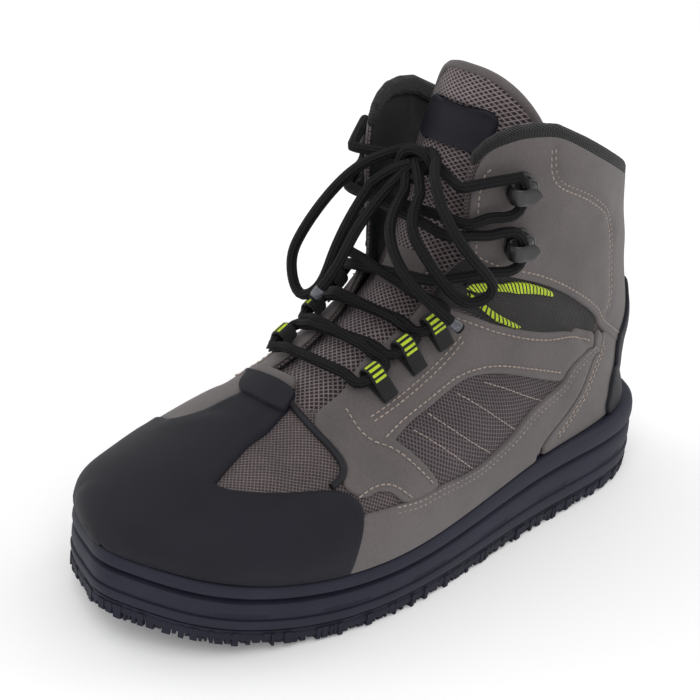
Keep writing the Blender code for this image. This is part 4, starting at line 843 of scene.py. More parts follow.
def grid_points(loops, fixed, step):
    """Even points clear of the fixed ones, the same on both halves of a panel that spans the middle."""
    low, high = loops[0].min(0), loops[0].max(0)
    spans = [np.arange(low[k] + step / 2, high[k], step) for k in range(2)]
    if abs(low[1] + high[1]) < step:
        half = np.arange(step / 2, high[1], step)
        spans[1] = np.concatenate([-half[::-1], half])
    grid = np.stack(np.meshgrid(*spans, indexing="ij"), -1).reshape(-1, 2)
    grid = grid[inside_panel(grid, loops)]
    tree = tree_of(np.pad(fixed, ((0, 0), (0, 1))))
    near = np.array([tree.find((*p, 0))[2] for p in grid])
    return grid[near > step * GRID_CLEAR]


def triangles(loops, points, edges):
    """Flat triangles between the points, inside the panel."""
    found = delaunay_2d_cdt([Vector(p) for p in points], edges, [], 0, FLAT_TOLERANCE)
    flat, faces = np.array([tuple(p) for p in found[0]]), np.array(found[2])
    for k, source in enumerate(found[3]):
        if source:
            flat[k] = points[min(source)]
    return flat, faces[inside_panel(flat[faces].mean(1), loops)]


def shell_of(top, bottom, faces, uv, two_paints):
    """Closed shell of a top and a bottom layer that share their rim; with its UVs and its paint numbers."""
    edges = {(f[k], f[(k + 1) % 3]) for f in faces for k in range(3)}
    count = len(top)
    joined = np.arange(2 * count)
    for i, j in edges:
        if (j, i) not in edges:
            joined[[i + count, j + count]] = i, j
    points = np.concatenate([top, bottom])
    first, lower = merge(top), merge(bottom) + count
    target = np.concatenate([first, np.where(joined[count:] < count, first[joined[count:] % count],
                                             joined[lower])])
    solid, uvs, paint_of = [], [], []
    for f in faces:
        for side, order in ((0, f), (count, f[::-1])):
            made = [int(target[v + side]) for v in order]
            if len(set(made)) == 3:
                solid.append(made)
                uvs.append([uv[v] for v in order])
                paint_of.append(1 if side and two_paints else 0)
    used = np.unique([v for f in solid for v in f])
    new = np.zeros(2 * count, int)
    new[used] = np.arange(len(used))
    return points[used], [tuple(int(new[v]) for v in f) for f in solid], uvs, paint_of


def laid(name, loops, face, low, high, paints, slot, replaces=(), step=0.0026, edge=0.0010, both=False,
         seams=(), uv_of=None, shape=None, smooth=True, grow=0.0):
    """Panel on a surface, with a rounded edge; the mesh holds its seams and creases. Its first loop is the
    outline, and the others are holes."""
    place, chart, unchart = face
    if smooth:
        loops = [rounded_corners(chart(smooth_loop(loop, LOOP_STEP))) for loop in loops]
    else:
        loops = [chart(loop) for loop in loops]
    if grow:
        ab = unchart(loops[0])
        free = (folded(ab[:, 1]) < BACK_SEAM_NEAR) | (ab[:, 0] > BACK_START + BACK_SEAM_FOOT)
        loops[0] = loops[0] + outward(loops[0]) * (grow * free)[:, None]
    fixed, edges = fixed_points(loops, guide_lines(loops, edge, seams), edge)
    grid = grid_points(loops, fixed, step)
    flat, faces = triangles(loops, np.concatenate([fixed, grid]), edges)
    rim = rim_distance(flat, loops)
    swell = np.sqrt(np.clip(1 - (1 - np.clip(rim / edge, 0, 1)) ** 2, 0, 1))
    where = unchart(flat)
    widest = np.abs(loops[0][:, 1] / np.interp(loops[0][:, 0], RUN, GIRTH)).max()
    if face is FORM and widest < 1 + MILLIMETRE:
        where[:, 1] = np.clip(where[:, 1], -1, 1)
    extra = 0 if shape is None else shape(where, rim)
    rim_lift = (low + high) / 2 if both else low
    layers = [place(where, rim_lift + (high - rim_lift) * swell + extra)[0],
              place(where, rim_lift + (low - rim_lift) * swell)[0]]
    if face is FORM:
        for layer in layers:
            seat = rand_height(layer[:, 1] / SOLE_LENGTH + 0.5) + SEAT_GAP
            layer[:, 2] = np.maximum(layer[:, 2], seat)
    uv = flat if uv_of is None else uv_of(flat)
    points, solid, uvs, paint_of = shell_of(*layers, faces, uv, len(paints) > 1)
    return add(name, points, solid, paints, slot, replaces, uvs, paint_of)


# Materials

def srgb(code):
    value = np.array([int(code[k:k + 2], 16) for k in (0, 2, 4)]) / 255
    linear = np.where(value <= 0.04045, value / 12.92, ((value + 0.055) / 1.055) ** 2.4)
    return tuple(linear.tolist()) + (1.0,)


def node(tree, kind, inputs=None, **settings):
    made = tree.nodes.new("ShaderNode" + kind)
    for key, value in settings.items():
        setattr(made, key, value)
    for key, value in (inputs or {}).items():
        if isinstance(value, bpy.types.NodeSocket):
            tree.links.new(value, made.inputs[key])
        else:
            made.inputs[key].default_value = value
    return made


def calc(tree, operation, *values):
    return node(tree, "Math", dict(enumerate(values)), operation=operation).outputs[0]


def ramp(tree, factor, stops):
    made = node(tree, "ValToRGB", {"Fac": factor})
    while len(made.color_ramp.elements) < len(stops):
        made.color_ramp.elements.new(0.5)
    for element, (position, colour) in zip(made.color_ramp.elements, stops):
        element.position = position
        element.color = colour if not isinstance(colour, str) else srgb(colour)
    return made.outputs["Color"]


def grey(value):
    return (value, value, value, 1.0)


def noise(tree, coordinate, scale, detail=2.0, rough=0.5):
    inputs = {"Vector": coordinate, "Scale": scale, "Detail": detail, "Roughness": rough}
    return node(tree, "TexNoise", inputs).outputs["Fac"]


def mix(tree, factor, first, second, blend="MIX"):
    made = node(tree, "MixRGB", {"Fac": factor, "Color1": first, "Color2": second}, blend_type=blend)
    return made.outputs["Color"]


def start(name, rough, coat=0.0, sheen=0.0, metallic=0.0, specular=0.4):
    """Empty material with its plain values on the shader's own sockets."""
    made = bpy.data.materials.new(name)
    made.use_nodes = True
    tree = made.node_tree
    shader = tree.nodes["Principled BSDF"]
    shader.inputs["Roughness"].default_value = rough
    shader.inputs["Metallic"].default_value = metallic
    shader.inputs["Specular IOR Level"].default_value = specular
    shader.inputs["Coat Weight"].default_value = coat
    shader.inputs["Coat Roughness"].default_value = 0.35
    shader.inputs["Sheen Weight"].default_value = sheen
    shader.inputs["Sheen Roughness"].default_value = 0.6
    where = node(tree, "TexCoord")
    return made, tree, shader, where.outputs["UV"], where.outputs["Object"]


def finish_paint(tree, shader, colour, height=None, depth=0.0003, rough=None):
    tree.links.new(colour, shader.inputs["Base Color"])
    if rough is not None:
        tree.links.new(rough, shader.inputs["Roughness"])
    if height is not None:
        bump = node(tree, "Bump", {"Height": height, "Strength": 0.9, "Distance": depth})
        tree.links.new(bump.outputs["Normal"], shader.inputs["Normal"])


def lattice(tree, uv, pitch, lean=1.0):
    """Two sets of leaning threads: 1 on a thread, 0 in the holes between."""
    parts = node(tree, "SeparateXYZ", {"Vector": uv})
    x = calc(tree, "MULTIPLY", parts.outputs[0], np.pi / pitch)
    y = calc(tree, "MULTIPLY", parts.outputs[1], np.pi / pitch * lean)
    first = calc(tree, "ABSOLUTE", calc(tree, "SINE", calc(tree, "ADD", x, y)))
    second = calc(tree, "ABSOLUTE", calc(tree, "SINE", calc(tree, "SUBTRACT", x, y)))
    return calc(tree, "SUBTRACT", 1.0, calc(tree, "MINIMUM", first, second))


def nubuck(name, base, dark, light):
    made, tree, shader, _, spot = start(name, 0.82, sheen=0.12, specular=0.3)
    cloud = noise(tree, spot, 26.0, 3.0, 0.6)
    nap = noise(tree, spot, 900.0, 2.0, 0.6)
    fine = noise(tree, spot, 2600.0, 2.0, 0.5)
    colour = ramp(tree, cloud, [(0.30, dark), (0.52, base), (0.74, light)])
    speck = ramp(tree, nap, [(0.30, grey(0.86)), (0.62, grey(1.0))])
    colour = mix(tree, 1.0, colour, speck, "MULTIPLY")
    height = calc(tree, "ADD", nap, calc(tree, "MULTIPLY", fine, 0.6))
    rough = calc(tree, "ADD", calc(tree, "MULTIPLY", cloud, 0.18), 0.72)
    finish_paint(tree, shader, colour, height, 0.00022, rough)
    return made


def open_mesh(name, pitch, dark, body, light, lean=1.0):
    """Open knit: dark holes between lighter leaning threads."""
    made, tree, shader, uv, spot = start(name, 0.8, sheen=0.08, specular=0.25)
    raised = lattice(tree, uv, pitch, lean)
    cloud = noise(tree, spot, 60.0, 3.0, 0.6)
    grain = noise(tree, spot, 1500.0, 2.0, 0.6)
    mixed = calc(tree, "ADD", raised, calc(tree, "MULTIPLY", calc(tree, "SUBTRACT", grain, 0.5), 0.55))
    colour = ramp(tree, mixed, [(0.18, dark), (0.42, body), (0.66, body), (0.94, light)])
    shade = ramp(tree, cloud, [(0.30, grey(0.78)), (0.70, grey(1.12))])
    colour = mix(tree, 1.0, colour, shade, "MULTIPLY")
    finish_paint(tree, shader, colour, calc(tree, "ADD", raised, calc(tree, "MULTIPLY", grain, 0.25)), 0.0005)
    return made


def moulded(name, base, light, rough, grain_size=1400.0, depth=0.00012):
    """Rubber: fine grain, slight dust and paler worn places."""
    made, tree, shader, _, spot = start(name, rough, specular=0.25)
    grain = noise(tree, spot, grain_size, 2.0, 0.6)
    dust = noise(tree, spot, 34.0, 4.0, 0.65)
    colour = ramp(tree, dust, [(0.38, base), (0.80, light)])
    roughness = calc(tree, "ADD", calc(tree, "MULTIPLY", dust, 0.20), rough - 0.10)
    finish_paint(tree, shader, colour, grain, depth, roughness)
    return made


def ribbed(name, base, light, pitch, rough=0.75, depth=0.0003):
    """Knitted or woven ribs across the length of a piece; the colour is paler on the rib crests as painted highlight
    and darker in the grooves as painted shade.
    """
    made, tree, shader, uv, spot = start(name, rough, sheen=0.08, specular=0.3)
    parts = node(tree, "SeparateXYZ", {"Vector": uv})
    wave = calc(tree, "SINE", calc(tree, "MULTIPLY", parts.outputs[1], 2 * np.pi / pitch))
    cross = calc(tree, "SINE", calc(tree, "MULTIPLY", parts.outputs[0], 2 * np.pi / (pitch * 1.3)))
    height = calc(tree, "ADD", wave, calc(tree, "MULTIPLY", cross, 0.5))
    grain = noise(tree, spot, 1200.0, 2.0, 0.6)
    # colour from the rib height: painted highlight on the crests, painted shade in the grooves
    factor = calc(tree, "ADD", calc(tree, "MULTIPLY", height, 0.22), grain)
    finish_paint(tree, shader, ramp(tree, factor, [(0.35, base), (0.85, light)]), height, depth)
    return made


def striped(name, ground, stripe, axis, pitch, share, half, stretch=None):
    """Bars across one direction of the UV; plain dark beyond the half width and outside the stretch."""
    made, tree, shader, uv, spot = start(name, 0.7, sheen=0.08, specular=0.3)
    parts = node(tree, "SeparateXYZ", {"Vector": uv})
    along, across = parts.outputs[axis], parts.outputs[1 - axis]
    phase = calc(tree, "FRACT", calc(tree, "DIVIDE", along, pitch))
    band = calc(tree, "ABSOLUTE", calc(tree, "SUBTRACT", phase, 0.5))
    on = ramp(tree, band, [(share / 2 - 0.03, grey(1.0)), (share / 2 + 0.03, grey(0.0))])
    reach = calc(tree, "DIVIDE", calc(tree, "ABSOLUTE", across), half)
    on = mix(tree, 1.0, on, ramp(tree, reach, [(0.94, grey(1.0)), (1.0, grey(0.0))]), "MULTIPLY")
    if stretch:
        after = calc(tree, "GREATER_THAN", along, stretch[0])
        before = calc(tree, "LESS_THAN", along, stretch[1])
        on = mix(tree, 1.0, on, calc(tree, "MULTIPLY", after, before), "MULTIPLY")
    grain = noise(tree, spot, 1500.0, 2.0, 0.6)
    rib = calc(tree, "SINE", calc(tree, "MULTIPLY", parts.outputs[1], 2 * np.pi / 0.0008))
    colour = mix(tree, on, srgb(ground), srgb(stripe))
    colour = mix(tree, 1.0, colour, ramp(tree, grain, [(0.3, grey(0.75)), (0.65, grey(1.1))]), "MULTIPLY")
    finish_paint(tree, shader, colour, calc(tree, "ADD", rib, grain), 0.0002)
    return made


def braid(name, base, light):
    """Round lace: lengthwise ribs over a close braid; the colour follows the relief, with painted highlight on the rib
    tops and painted shade in the grooves.
    """
    made, tree, shader, uv, spot = start(name, 0.72, specular=0.22)
    threads = lattice(tree, uv, 0.0013, 0.62)
    parts = node(tree, "SeparateXYZ", {"Vector": uv})
    ribs = calc(tree, "SINE", calc(tree, "MULTIPLY", parts.outputs[0], 2 * np.pi / 0.00173))
    grain = noise(tree, spot, 1500.0, 2.0, 0.6)
    height = calc(tree, "ADD", calc(tree, "MULTIPLY", threads, 0.5), calc(tree, "MULTIPLY", ribs, 0.6))
    # colour from the relief height: painted highlight on the raised threads and rib tops, painted shade in the grooves
    # between
    factor = calc(tree, "ADD", calc(tree, "MULTIPLY", height, 0.30), calc(tree, "MULTIPLY", grain, 0.8))
    finish_paint(tree, shader, ramp(tree, factor, [(0.42, base), (0.85, light)]), height, 0.0004)
    return made


def glossy(name, base, light, rough, metallic=0.0, coat=0.0):
    made, tree, shader, _, spot = start(name, rough, coat=coat, metallic=metallic, specular=0.5)
    scuff = noise(tree, spot, 500.0, 4.0, 0.7)
    colour = ramp(tree, scuff, [(0.45, base), (0.85, light)])
    roughness = calc(tree, "ADD", calc(tree, "MULTIPLY", scuff, 0.25), rough - 0.12)
    finish_paint(tree, shader, colour, scuff, 0.00004, roughness)
    return made


TAUPE = nubuck("taupe_nubuck", "5e5757", "544e4e", "665f60")
VAMP_MESH = open_mesh("vamp_mesh", 0.0020, "2b2424", "514646", "827577")
WINDOW_MESH = open_mesh("window_mesh", 0.0022, "1e1919", "41373a", "74676b", 0.8)
INSET_MESH = open_mesh("inset_mesh", 0.0016, "161415", "2a2728", "423e3f")
TONGUE_MESH = open_mesh("tongue_mesh", 0.0021, "211b1b", "5c5051", "a3969a", 0.8)
LINING = open_mesh("lining", 0.0016, "060608", "0e0e11", "17171b")
RUBBER = moulded("cap_rubber", "13131b", "1a1a24", 0.66)
SOLE_RUBBER = moulded("sole_rubber", "21212f", "2a2a3a", 0.66, 1100.0, 0.00016)
TREAD_RUBBER = moulded("tread_rubber", "1d1d2a", "262635", 0.72, 900.0, 0.0002)
KNIT = ribbed("collar_knit", "070709", "131318", 0.0011)
WEBBING = striped("striped_webbing", "0c0c0f", "c8e02c", 1, 0.0022, 0.50, 0.0029, (0.0196, 0.0284))
ELASTIC = striped("striped_elastic", "131315", "cfe82e", 0, 0.0026, 0.62, 0.0026)
PLAIN_WEBBING = ribbed("plain_webbing", "121216", "2a2a30", 0.0009)
LACE = braid("lace_braid", "060607", "1d1e22")
THREAD = ribbed("thread", "8e8078", "c9bbb0", 0.0004, rough=0.7, depth=0.0001)
PALE_THREAD = ribbed("pale_thread", "9a8d86", "cfc3ba", 0.0004, rough=0.7, depth=0.0001)
HOOK = glossy("hook_coating", "060607", "101013", 0.36, coat=0.5)
METAL = glossy("drain_metal", "a9a6a0", "d6d3cd", 0.36, metallic=1.0)
FOOTBED = ribbed("footbed_cloth", "15151a", "2b2b31", 0.0012)
AGLET = glossy("aglet_plastic", "3c3e46", "6b6e78", 0.25, coat=0.6)
PIPE = moulded("piping", "17171b", "26272d", 0.6, 1800.0)


# Upper and the panels laid on it

def mirrored(loop):
    return np.array(loop)[::-1] * (1, -1)


def around(half):
    """Closes a half outline across the back seam."""
    half = np.array(half)
    other = half[-2:0:-1].copy()
    other[:, 1] = 2 - other[:, 1]
    return np.concatenate([half, other])


def tucked(loop):
    """Lower edges reach down to the rand."""
    loop = np.array(loop, float)
    low = np.isclose(np.abs(loop[:, 1]), 0.975)
    loop[low, 1] = np.sign(loop[low, 1]) * 0.998
    return loop


def tucked_heel(half):
    half = np.array(half, float)
    foot = BACK_START + 0.002
    low = [(foot, 1.0), (foot, 0.999)] + [(a, 0.998) for a in (foot - 0.006, 0.720)]
    rest = half[4:]
    rest = np.where(np.isclose(rest, 0.975), 0.998, rest)
    return np.concatenate([low, rest])


def owned(*names):
    return [SEAM_LINES[name] for name in names]


def other_side(lines):
    return [line * (1, -1) for line in lines]


def past_seam(lines):
    """The same seams on the medial side, in the chart that runs past the back seam."""
    out = []
    for line in lines:
        ab = form_unchart(line)
        ab[:, 1] = 2 - ab[:, 1]
        out.append(form_chart(ab)[::-1])
    return out


def upper():
    """Hollow upper of mesh cloth with a dark lining."""
    low_edge = np.stack([np.linspace(0, BACK_START, 150), np.ones(150)], -1)
    back = np.stack([np.linspace(BACK_START, 0.982, 44)[1:], np.ones(43)], -1)
    line = np.concatenate([[(a, b) for b, a in COLLAR[::-1]], SLOT[::-1][1:]])
    throat = spline(line * PLANE, 0.0017) / PLANE
    foot = np.stack([np.full(12, SLOT[0][0]), np.linspace(SLOT[0][1], 0, 13)[1:]], -1)
    half = np.concatenate([low_edge, back, throat[1:], foot])
    whole = np.concatenate([half, mirrored(half)[1:]])
    holes = [circle_on(a, b, DRAIN_RADIUS, 28) for a, b in DRAINS]
    whole = form_chart(whole)
    laid("upper_shell", [whole] + [form_chart(hole) for hole in holes], CHARTED, -UPPER_WALL, 0.0,
         [VAMP_MESH, LINING], "mesh", ["upper"], step=0.0030, edge=0.0011, both=True, smooth=False)


def circle_on(p, q, radius, sides):
    """Loop in a, b that is a circle on the upper."""
    along = (form(p + NUDGE, q) - form(p - NUDGE, q)) / (2 * NUDGE)
    across = (form(p, q + NUDGE) - form(p, q - NUDGE)) / (2 * NUDGE)
    first = along / np.linalg.norm(along)
    second = np.cross(form_normal(p, q), first)
    matrix = np.stack([along, across], 1)
    loop = []
    for t in np.linspace(0, 2 * np.pi, sides + 1)[:-1]:
        want = radius * (np.cos(t) * first + np.sin(t) * second)
        loop.append(np.array([p, q]) + np.linalg.lstsq(matrix, want, rcond=None)[0])
    return np.array(loop)


def same(points):
    return points


CHARTED = (at_form, same, form_unchart)


def cap_thick(_, rim):
    """The rubber cap is fullest over the toe and has a soft welt round its edge."""
    return 0.0004 * ease(0.002, 0.012, rim) + 0.0003 * np.exp(-((rim - 0.0024) / 0.0012) ** 2)


def toe_cap():
    loop = np.concatenate([tucked(TOE_CAP), [(0.0, -0.998), (0.0, 0.998)]])
    laid("toe_cap_rubber", [loop], FORM, LAID[0], CAP_TOP, [RUBBER], "rubber", ["toe_cap"], edge=0.0014,
         shape=cap_thick)


def taupe_panel(name, loops, top, solid, seams):
    laid(name, loops, FORM, LAID[0], top, [TAUPE], "taupe", [solid], seams=seams, grow=OVERLAP)


def quarters():
    lateral = np.concatenate([QUARTER_FRONT_LATERAL, QUARTER_REST])
    medial = mirrored(np.concatenate([QUARTER_FRONT_MEDIAL - (UNDER_CAP, 0), QUARTER_REST]))
    mine = owned("eyestay", "front", "window_top", "quarter_top", "small_window")
    taupe_panel("quarter_lateral_nubuck", [lateral], QUARTER_TOP, "quarter_lateral", mine)
    mine = other_side(owned("eyestay", "front", "window_top", "quarter_top"))
    taupe_panel("quarter_medial_nubuck", [medial], QUARTER_TOP, "quarter_medial", mine)


def bands():
    lateral = tucked(np.concatenate([BAND_FRONT_LATERAL - (UNDER_CAP, 0), BAND_REST]))
    taupe_panel("band_lateral_nubuck", [lateral], BAND_TOP, "band_lateral", owned("band_top"))
    medial = mirrored(tucked(np.concatenate([BAND_FRONT_MEDIAL - (UNDER_CAP, 0), BAND_REST])))
    holes = [circle_on(a, b, DRAIN_RADIUS + 0.0005, 28) for a, b in DRAINS]
    taupe_panel("band_medial_nubuck", [medial] + holes, BAND_TOP, "band_medial",
                other_side(owned("band_top")))


def raised(half):
    """The top of the shaft reaches under the collar binding."""
    half = np.array(half, float)
    half[half[:, 0] > 0.93, 0] += 0.007
    return half


def heel_and_shaft():
    heel = owned("heel")
    taupe_panel("heel_panel_nubuck", [around(tucked_heel(HEEL_HALF))], HEEL_TOP, "heel_panel",
                heel + past_seam(heel))
    shaft = owned("cuff", "shaft_foot", "shaft_front")
    taupe_panel("shaft_nubuck", [around(raised(SHAFT_HALF))], LAID[1], "shaft_panel",
                shaft + past_seam(shaft))
    laid("counter_rubber", [around(tucked_heel(COUNTER_HALF))], FORM, *COUNTER, [RUBBER], "rubber",
         ["heel_counter"], edge=0.0012)


def band_uv(loop):
    """UV along the middle of a narrow band and across it."""
    chart = form_chart(loop)
    half = len(loop) // 2
    top = spline(chart[:half + 1], 0.002)
    bottom = spline(chart[half:][::-1], 0.002)
    share = np.linspace(0, 1, 60)
    edges = [np.stack([np.interp(share, np.linspace(0, 1, len(line)), line[:, k]) for k in (0, 1)], -1)
             for line in (top, bottom)]
    middle = (edges[0] + edges[1]) / 2
    run = lengths(middle)

    def of(flat):
        gap = np.linalg.norm(flat[:, None] - middle, axis=2)
        k = gap.argmin(1)
        way = unit(np.gradient(middle, axis=0))
        off = flat - middle[k]
        along = run[k] + (off * way[k]).sum(1)
        across = way[k][:, 0] * off[:, 1] - way[k][:, 1] * off[:, 0]
        return np.stack([along, across], -1)
    return of


def elastics():
    for name, loop in (("elastic_upper", ELASTIC_UPPER), ("elastic_lower", ELASTIC_LOWER)):
        for side, outline in (("lateral", np.array(loop)), ("medial", mirrored(loop))):
            laid(f"{name}_{side}_band", [outline], FORM, LAID[0], LAID[1] + 0.0002, [ELASTIC], "elastic",
                 [f"{name}_{side}"], step=0.0020, edge=0.0007, uv_of=band_uv(outline))


def ankle_insets():
    """Finer mesh between quarter and shaft, and the windows of the quarters."""
    inset = [(0.600, 0.150), (0.640, 0.230), (0.654, 0.330), (0.678, 0.420), (0.712, 0.500), (0.766, 0.552),
             (0.780, 0.625), (0.812, 0.628), (0.826, 0.560), (0.824, 0.466), (0.810, 0.350), (0.790, 0.268),
             (0.778, 0.172), (0.700, 0.152)]
    window = [(0.438, 0.485), (0.474, 0.452), (0.506, 0.441), (0.541, 0.428), (0.568, 0.429), (0.592, 0.455),
              (0.616, 0.516), (0.640, 0.610), (0.648, 0.680), (0.625, 0.735), (0.595, 0.775), (0.560, 0.810),
              (0.511, 0.815), (0.466, 0.785), (0.452, 0.640)]
    for side, word in ((1, "lateral"), (-1, "medial")):
        for name, loop, paint in (("ankle_inset", inset, INSET_MESH), ("window_inset", window, WINDOW_MESH)):
            outline = np.array(loop) if side > 0 else mirrored(loop)
            laid(f"{name}_{word}", [outline], FORM, 0.0001, 0.00035, [paint], "mesh", edge=0.0010)


def collar_binding():
    line = np.array([(a, b) for b, a in COLLAR])
    around_b = np.linspace(line[0][1], 1, 60)
    foot = np.stack([np.interp(around_b, line[:, 1], line[:, 0]) - 0.0020, around_b], -1)
    head = foot + (0.0150, 0)
    half_loop = np.concatenate([foot[::-1], head])
    other = half_loop[::-1].copy()[1:-1]
    other[:, 1] = 2 - other[:, 1]
    loop = np.concatenate([half_loop, other])

    def of(flat):
        return flat[:, ::-1]
    laid("collar_binding_knit", [loop], FORM, *BINDING, [KNIT], "webbing", ["collar_binding"], step=0.0012,
         edge=0.0026, both=True, uv_of=of)


# Stitches

def stitch_rows(name, lines, paint, pitch=0.0030, long=0.0021, thick=0.00036):
    """Joined small stitches along lines of points and normals."""
    ring = 6
    angles = 2 * np.pi * np.arange(ring) / ring
    rises = [(-0.50, 0.35, -0.55), (-0.36, 0.95, 0.05), (0.0, 1.0, 0.42), (0.36, 0.95, 0.05),
             (0.50, 0.35, -0.55)]
    points, faces, uvs = [], [], []
    for middle, normals in lines:
        run = lengths(middle)
        for at in np.arange(pitch / 2, run[-1] - long / 2, pitch):
            begin, stop, up = [np.array([np.interp(at + s, run, values[:, k]) for k in range(3)])
                               for s, values in ((-long / 2, middle), (long / 2, middle), (0, normals))]
            centre = (begin + stop) / 2
            way = unit(stop - begin)
            up = unit(up - way * (way @ up))
            side = np.cross(way, up)
            first = len(points)
            for share, size, rise in rises:
                base = centre + way * long * share + up * rise * thick
                points += [base + thick * size * (np.cos(t) * side + np.sin(t) * up) for t in angles]
            for i in range(len(rises) - 1):
                for k in range(ring):
                    m = (k + 1) % ring
                    low, high = first + i * ring, first + (i + 1) * ring
                    faces.append((low + k, low + m, high + m, high + k))
            faces.append(tuple(first + k for k in range(ring))[::-1])
            faces.append(tuple(first + 4 * ring + k for k in range(ring)))
    points = np.array(points)
    uvs = [[(points[v][0], points[v][2]) for v in f] for f in faces]
    return add(name, points, faces, [paint], "webbing", uvs=uvs)


def on_form(line, side, lift, offset=0.0, past=False):
    """3-D line and normals over a chart line, on either side of the boot."""
    ab = form_unchart(line)
    if side < 0:
        ab[:, 1] = 2 - ab[:, 1] if past else -ab[:, 1]
    points, n = at_form(ab, np.full(len(ab), lift))
    across = unit(np.cross(n, np.gradient(points, axis=0)))
    return points + across * offset, n


def stitches():
    for side, word in ((1, "lateral"), (-1, "medial")):
        lines = []
        for name, line in SEAM_LINES.items():
            if side < 0 and name == "small_window":
                continue
            offsets = (-ROW_GAP, ROW_GAP) if SEAMS[name][1] else (0.0,)
            past = name in PAST_BACK
            lines += [on_form(line, side, LAID[1], offset, past) for offset in offsets]
        stitch_rows(f"panel_stitches_{word}", lines, THREAD)
        lines = [on_form(spline(form_chart(line), 0.002), side, 0.0004) for line in WINDOW_LINES]
        stitch_rows(f"window_stitches_{word}", lines, PALE_THREAD, 0.0026, 0.0022, 0.00022)


# Strips, tubes and turned pieces

def sweep(name, path, side, up, profiles, paints, slot, replaces=(), closed=False, uv_scale=1.0, crisp=50.0):
    """Profile carried along a path; profiles is one closed outline or one for each point of the path."""
    path, side, up = np.asarray(path), np.asarray(side), np.asarray(up)
    profiles = np.asarray(profiles, float)
    if profiles.ndim == 2:
        profiles = np.repeat(profiles[None], len(path), 0)
    rings, count = profiles.shape[:2]
    points = path[:, None] + side[:, None] * profiles[..., :1] + up[:, None] * profiles[..., 1:]
    points = points.reshape(-1, 3)
    run = lengths(path)
    faces, uvs = [], []
    for i in range(rings if closed else rings - 1):
        j = (i + 1) % rings
        high = run[j] if j else run[-1] + np.linalg.norm(path[0] - path[-1])
        for k in range(count):
            m = (k + 1) % count
            faces.append((i * count + k, i * count + m, j * count + m, j * count + k))
            left, right = profiles[i, k, 0], profiles[i, m, 0]
            if uv_scale != 1.0:
                left, right = k * uv_scale, (k + 1) * uv_scale
            uvs.append([(left, run[i]), (right, run[i]), (right, high), (left, high)])
    if not closed:
        for first, ends in ((0, True), ((rings - 1) * count, False)):
            centre = len(points)
            points = np.concatenate([points, [points[first:first + count].mean(0)]])
            for k in range(count):
                m = (k + 1) % count
                face = (centre, first + m, first + k) if ends else (centre, first + k, first + m)
                faces.append(face)
                uvs.append([(0.0, run[0 if ends else -1])] * 3)
    return add(name, points, faces, paints, slot, replaces, uvs, crisp=crisp)


def round_profile(radius, sides):
    angles = 2 * np.pi * np.arange(sides) / sides
    return np.stack([radius * np.cos(angles), radius * np.sin(angles)], -1)


def flat_profile(half_wide, half_thick, sides=16, power=4.0):
    angles = 2 * np.pi * (np.arange(sides) + 0.5) / sides
    c, s = np.cos(angles), np.sin(angles)
    return np.stack([half_wide * np.sign(c) * np.abs(c) ** (2 / power),
                     half_thick * np.sign(s) * np.abs(s) ** (2 / power)], -1)


def carried(path):
    """Side and up directions carried along a path without twist."""
    way = unit(np.gradient(path, axis=0))
    side = np.cross(way[0], (0, 0, 1))
    if np.linalg.norm(side) < 0.1:
        side = np.cross(way[0], (1, 0, 0))
    sides, ups = [], []
    for d in way:
        side = unit(side - d * (side @ d))
        sides.append(side)
        ups.append(np.cross(d, side))
    return np.array(sides), np.array(ups)


def lace_tube(name, points, replaces=(), radius=LACE_RADIUS, step=0.0022, paint=None, tapered=False):
    path = spline(points, step)
    sides = 16
    profile = np.repeat(round_profile(radius, sides)[None], len(path), 0)
    scales = np.ones(len(path))
    if tapered:
        scales[:2] = (0.55, 0.9)
        scales[-2:] = (0.9, 0.55)
    side, up = carried(path)
    piece = sweep(name, path, side, up, profile * scales[:, None, None], [paint or LACE], "lace", replaces,
                  uv_scale=2 * np.pi * radius / sides)
    return piece, path


def stack(name, rings, paint, slot, replaces, uv_of, crisp=50.0):
    """Closed piece of level rings round the sole; strips from side to side close both ends."""
    size = len(rings[0])
    points = np.concatenate(rings)
    faces = band_faces(len(rings), size)
    for first, flip in ((0, True), ((len(rings) - 1) * size, False)):
        for i in range(size // 2):
            corners = [first + i, first + i + 1, first + size - i - 1, first + (size - i) % size]
            cap = tuple(dict.fromkeys(corners))
            faces.append(cap[::-1] if flip else cap)
    uvs = [[uv_of(points[v]) for v in f] for f in faces]
    add(name, points, faces, [paint], slot, replaces, uvs, crisp=crisp)


def band_faces(levels, size):
    """Faces between closed rings of points that follow each other."""
    faces = []
    for first in range(0, (levels - 1) * size, size):
        for i in range(size):
            j = (i + 1) % size
            faces.append((first + i, first + j, first + size + j, first + size + i))
    return faces


# Sole

def sole_outline(count):
    """Even points round the sole from the toe tip by the lateral side, with shares and outward directions."""
    halves = []
    for side in (1, -1):
        share = (1 - np.cos(np.linspace(0, np.pi, 1200))) / 2
        line = np.stack([side * half_width(share, side), SOLE_LENGTH * (share - 0.5)], -1)
        run = lengths(line)
        at = np.linspace(0, run[-1], count // 2 + 1)
        halves.append(np.stack([np.interp(at, run, line[:, 0]), np.interp(at, run, line[:, 1])], -1))
    ring = np.concatenate([halves[0], halves[1][-2:0:-1]])
    near = count // 100
    ring = sum(np.roll(ring, k, axis=0) for k in range(-near, near + 1)) / (2 * near + 1)
    return ring, np.clip(ring[:, 1] / SOLE_LENGTH + 0.5, 0, 1), outward(ring)


LUG_HEIGHT = 0.0052
LUG_PITCH = (0.0124, 0.0130)
LUG_RADIUS = 0.0058
LUG_LEAN = 0.35
LUG_TURN = 0.55
LUG_TAPER = 0.84
LUG_LOWER = 0.0012
LUG_JOIN = 0.0004
LUG_INSET = 0.0046
LEAST_LUG_AREA = 0.000014
LUG_COUNT = 30
PLATE_THICK = 0.0016
PLATE_INSET = 0.0014
SKIRT_INSET = 0.0025
SKIRT_HALF = 0.0015
CUT_PITCH = 0.046
CUT_LONG = 0.022
CUT_DEEP = 0.0005
SOLE_COUNT = 700
FOOTBED_FORE = 0.0086
FOOTBED_HEEL = 0.0156

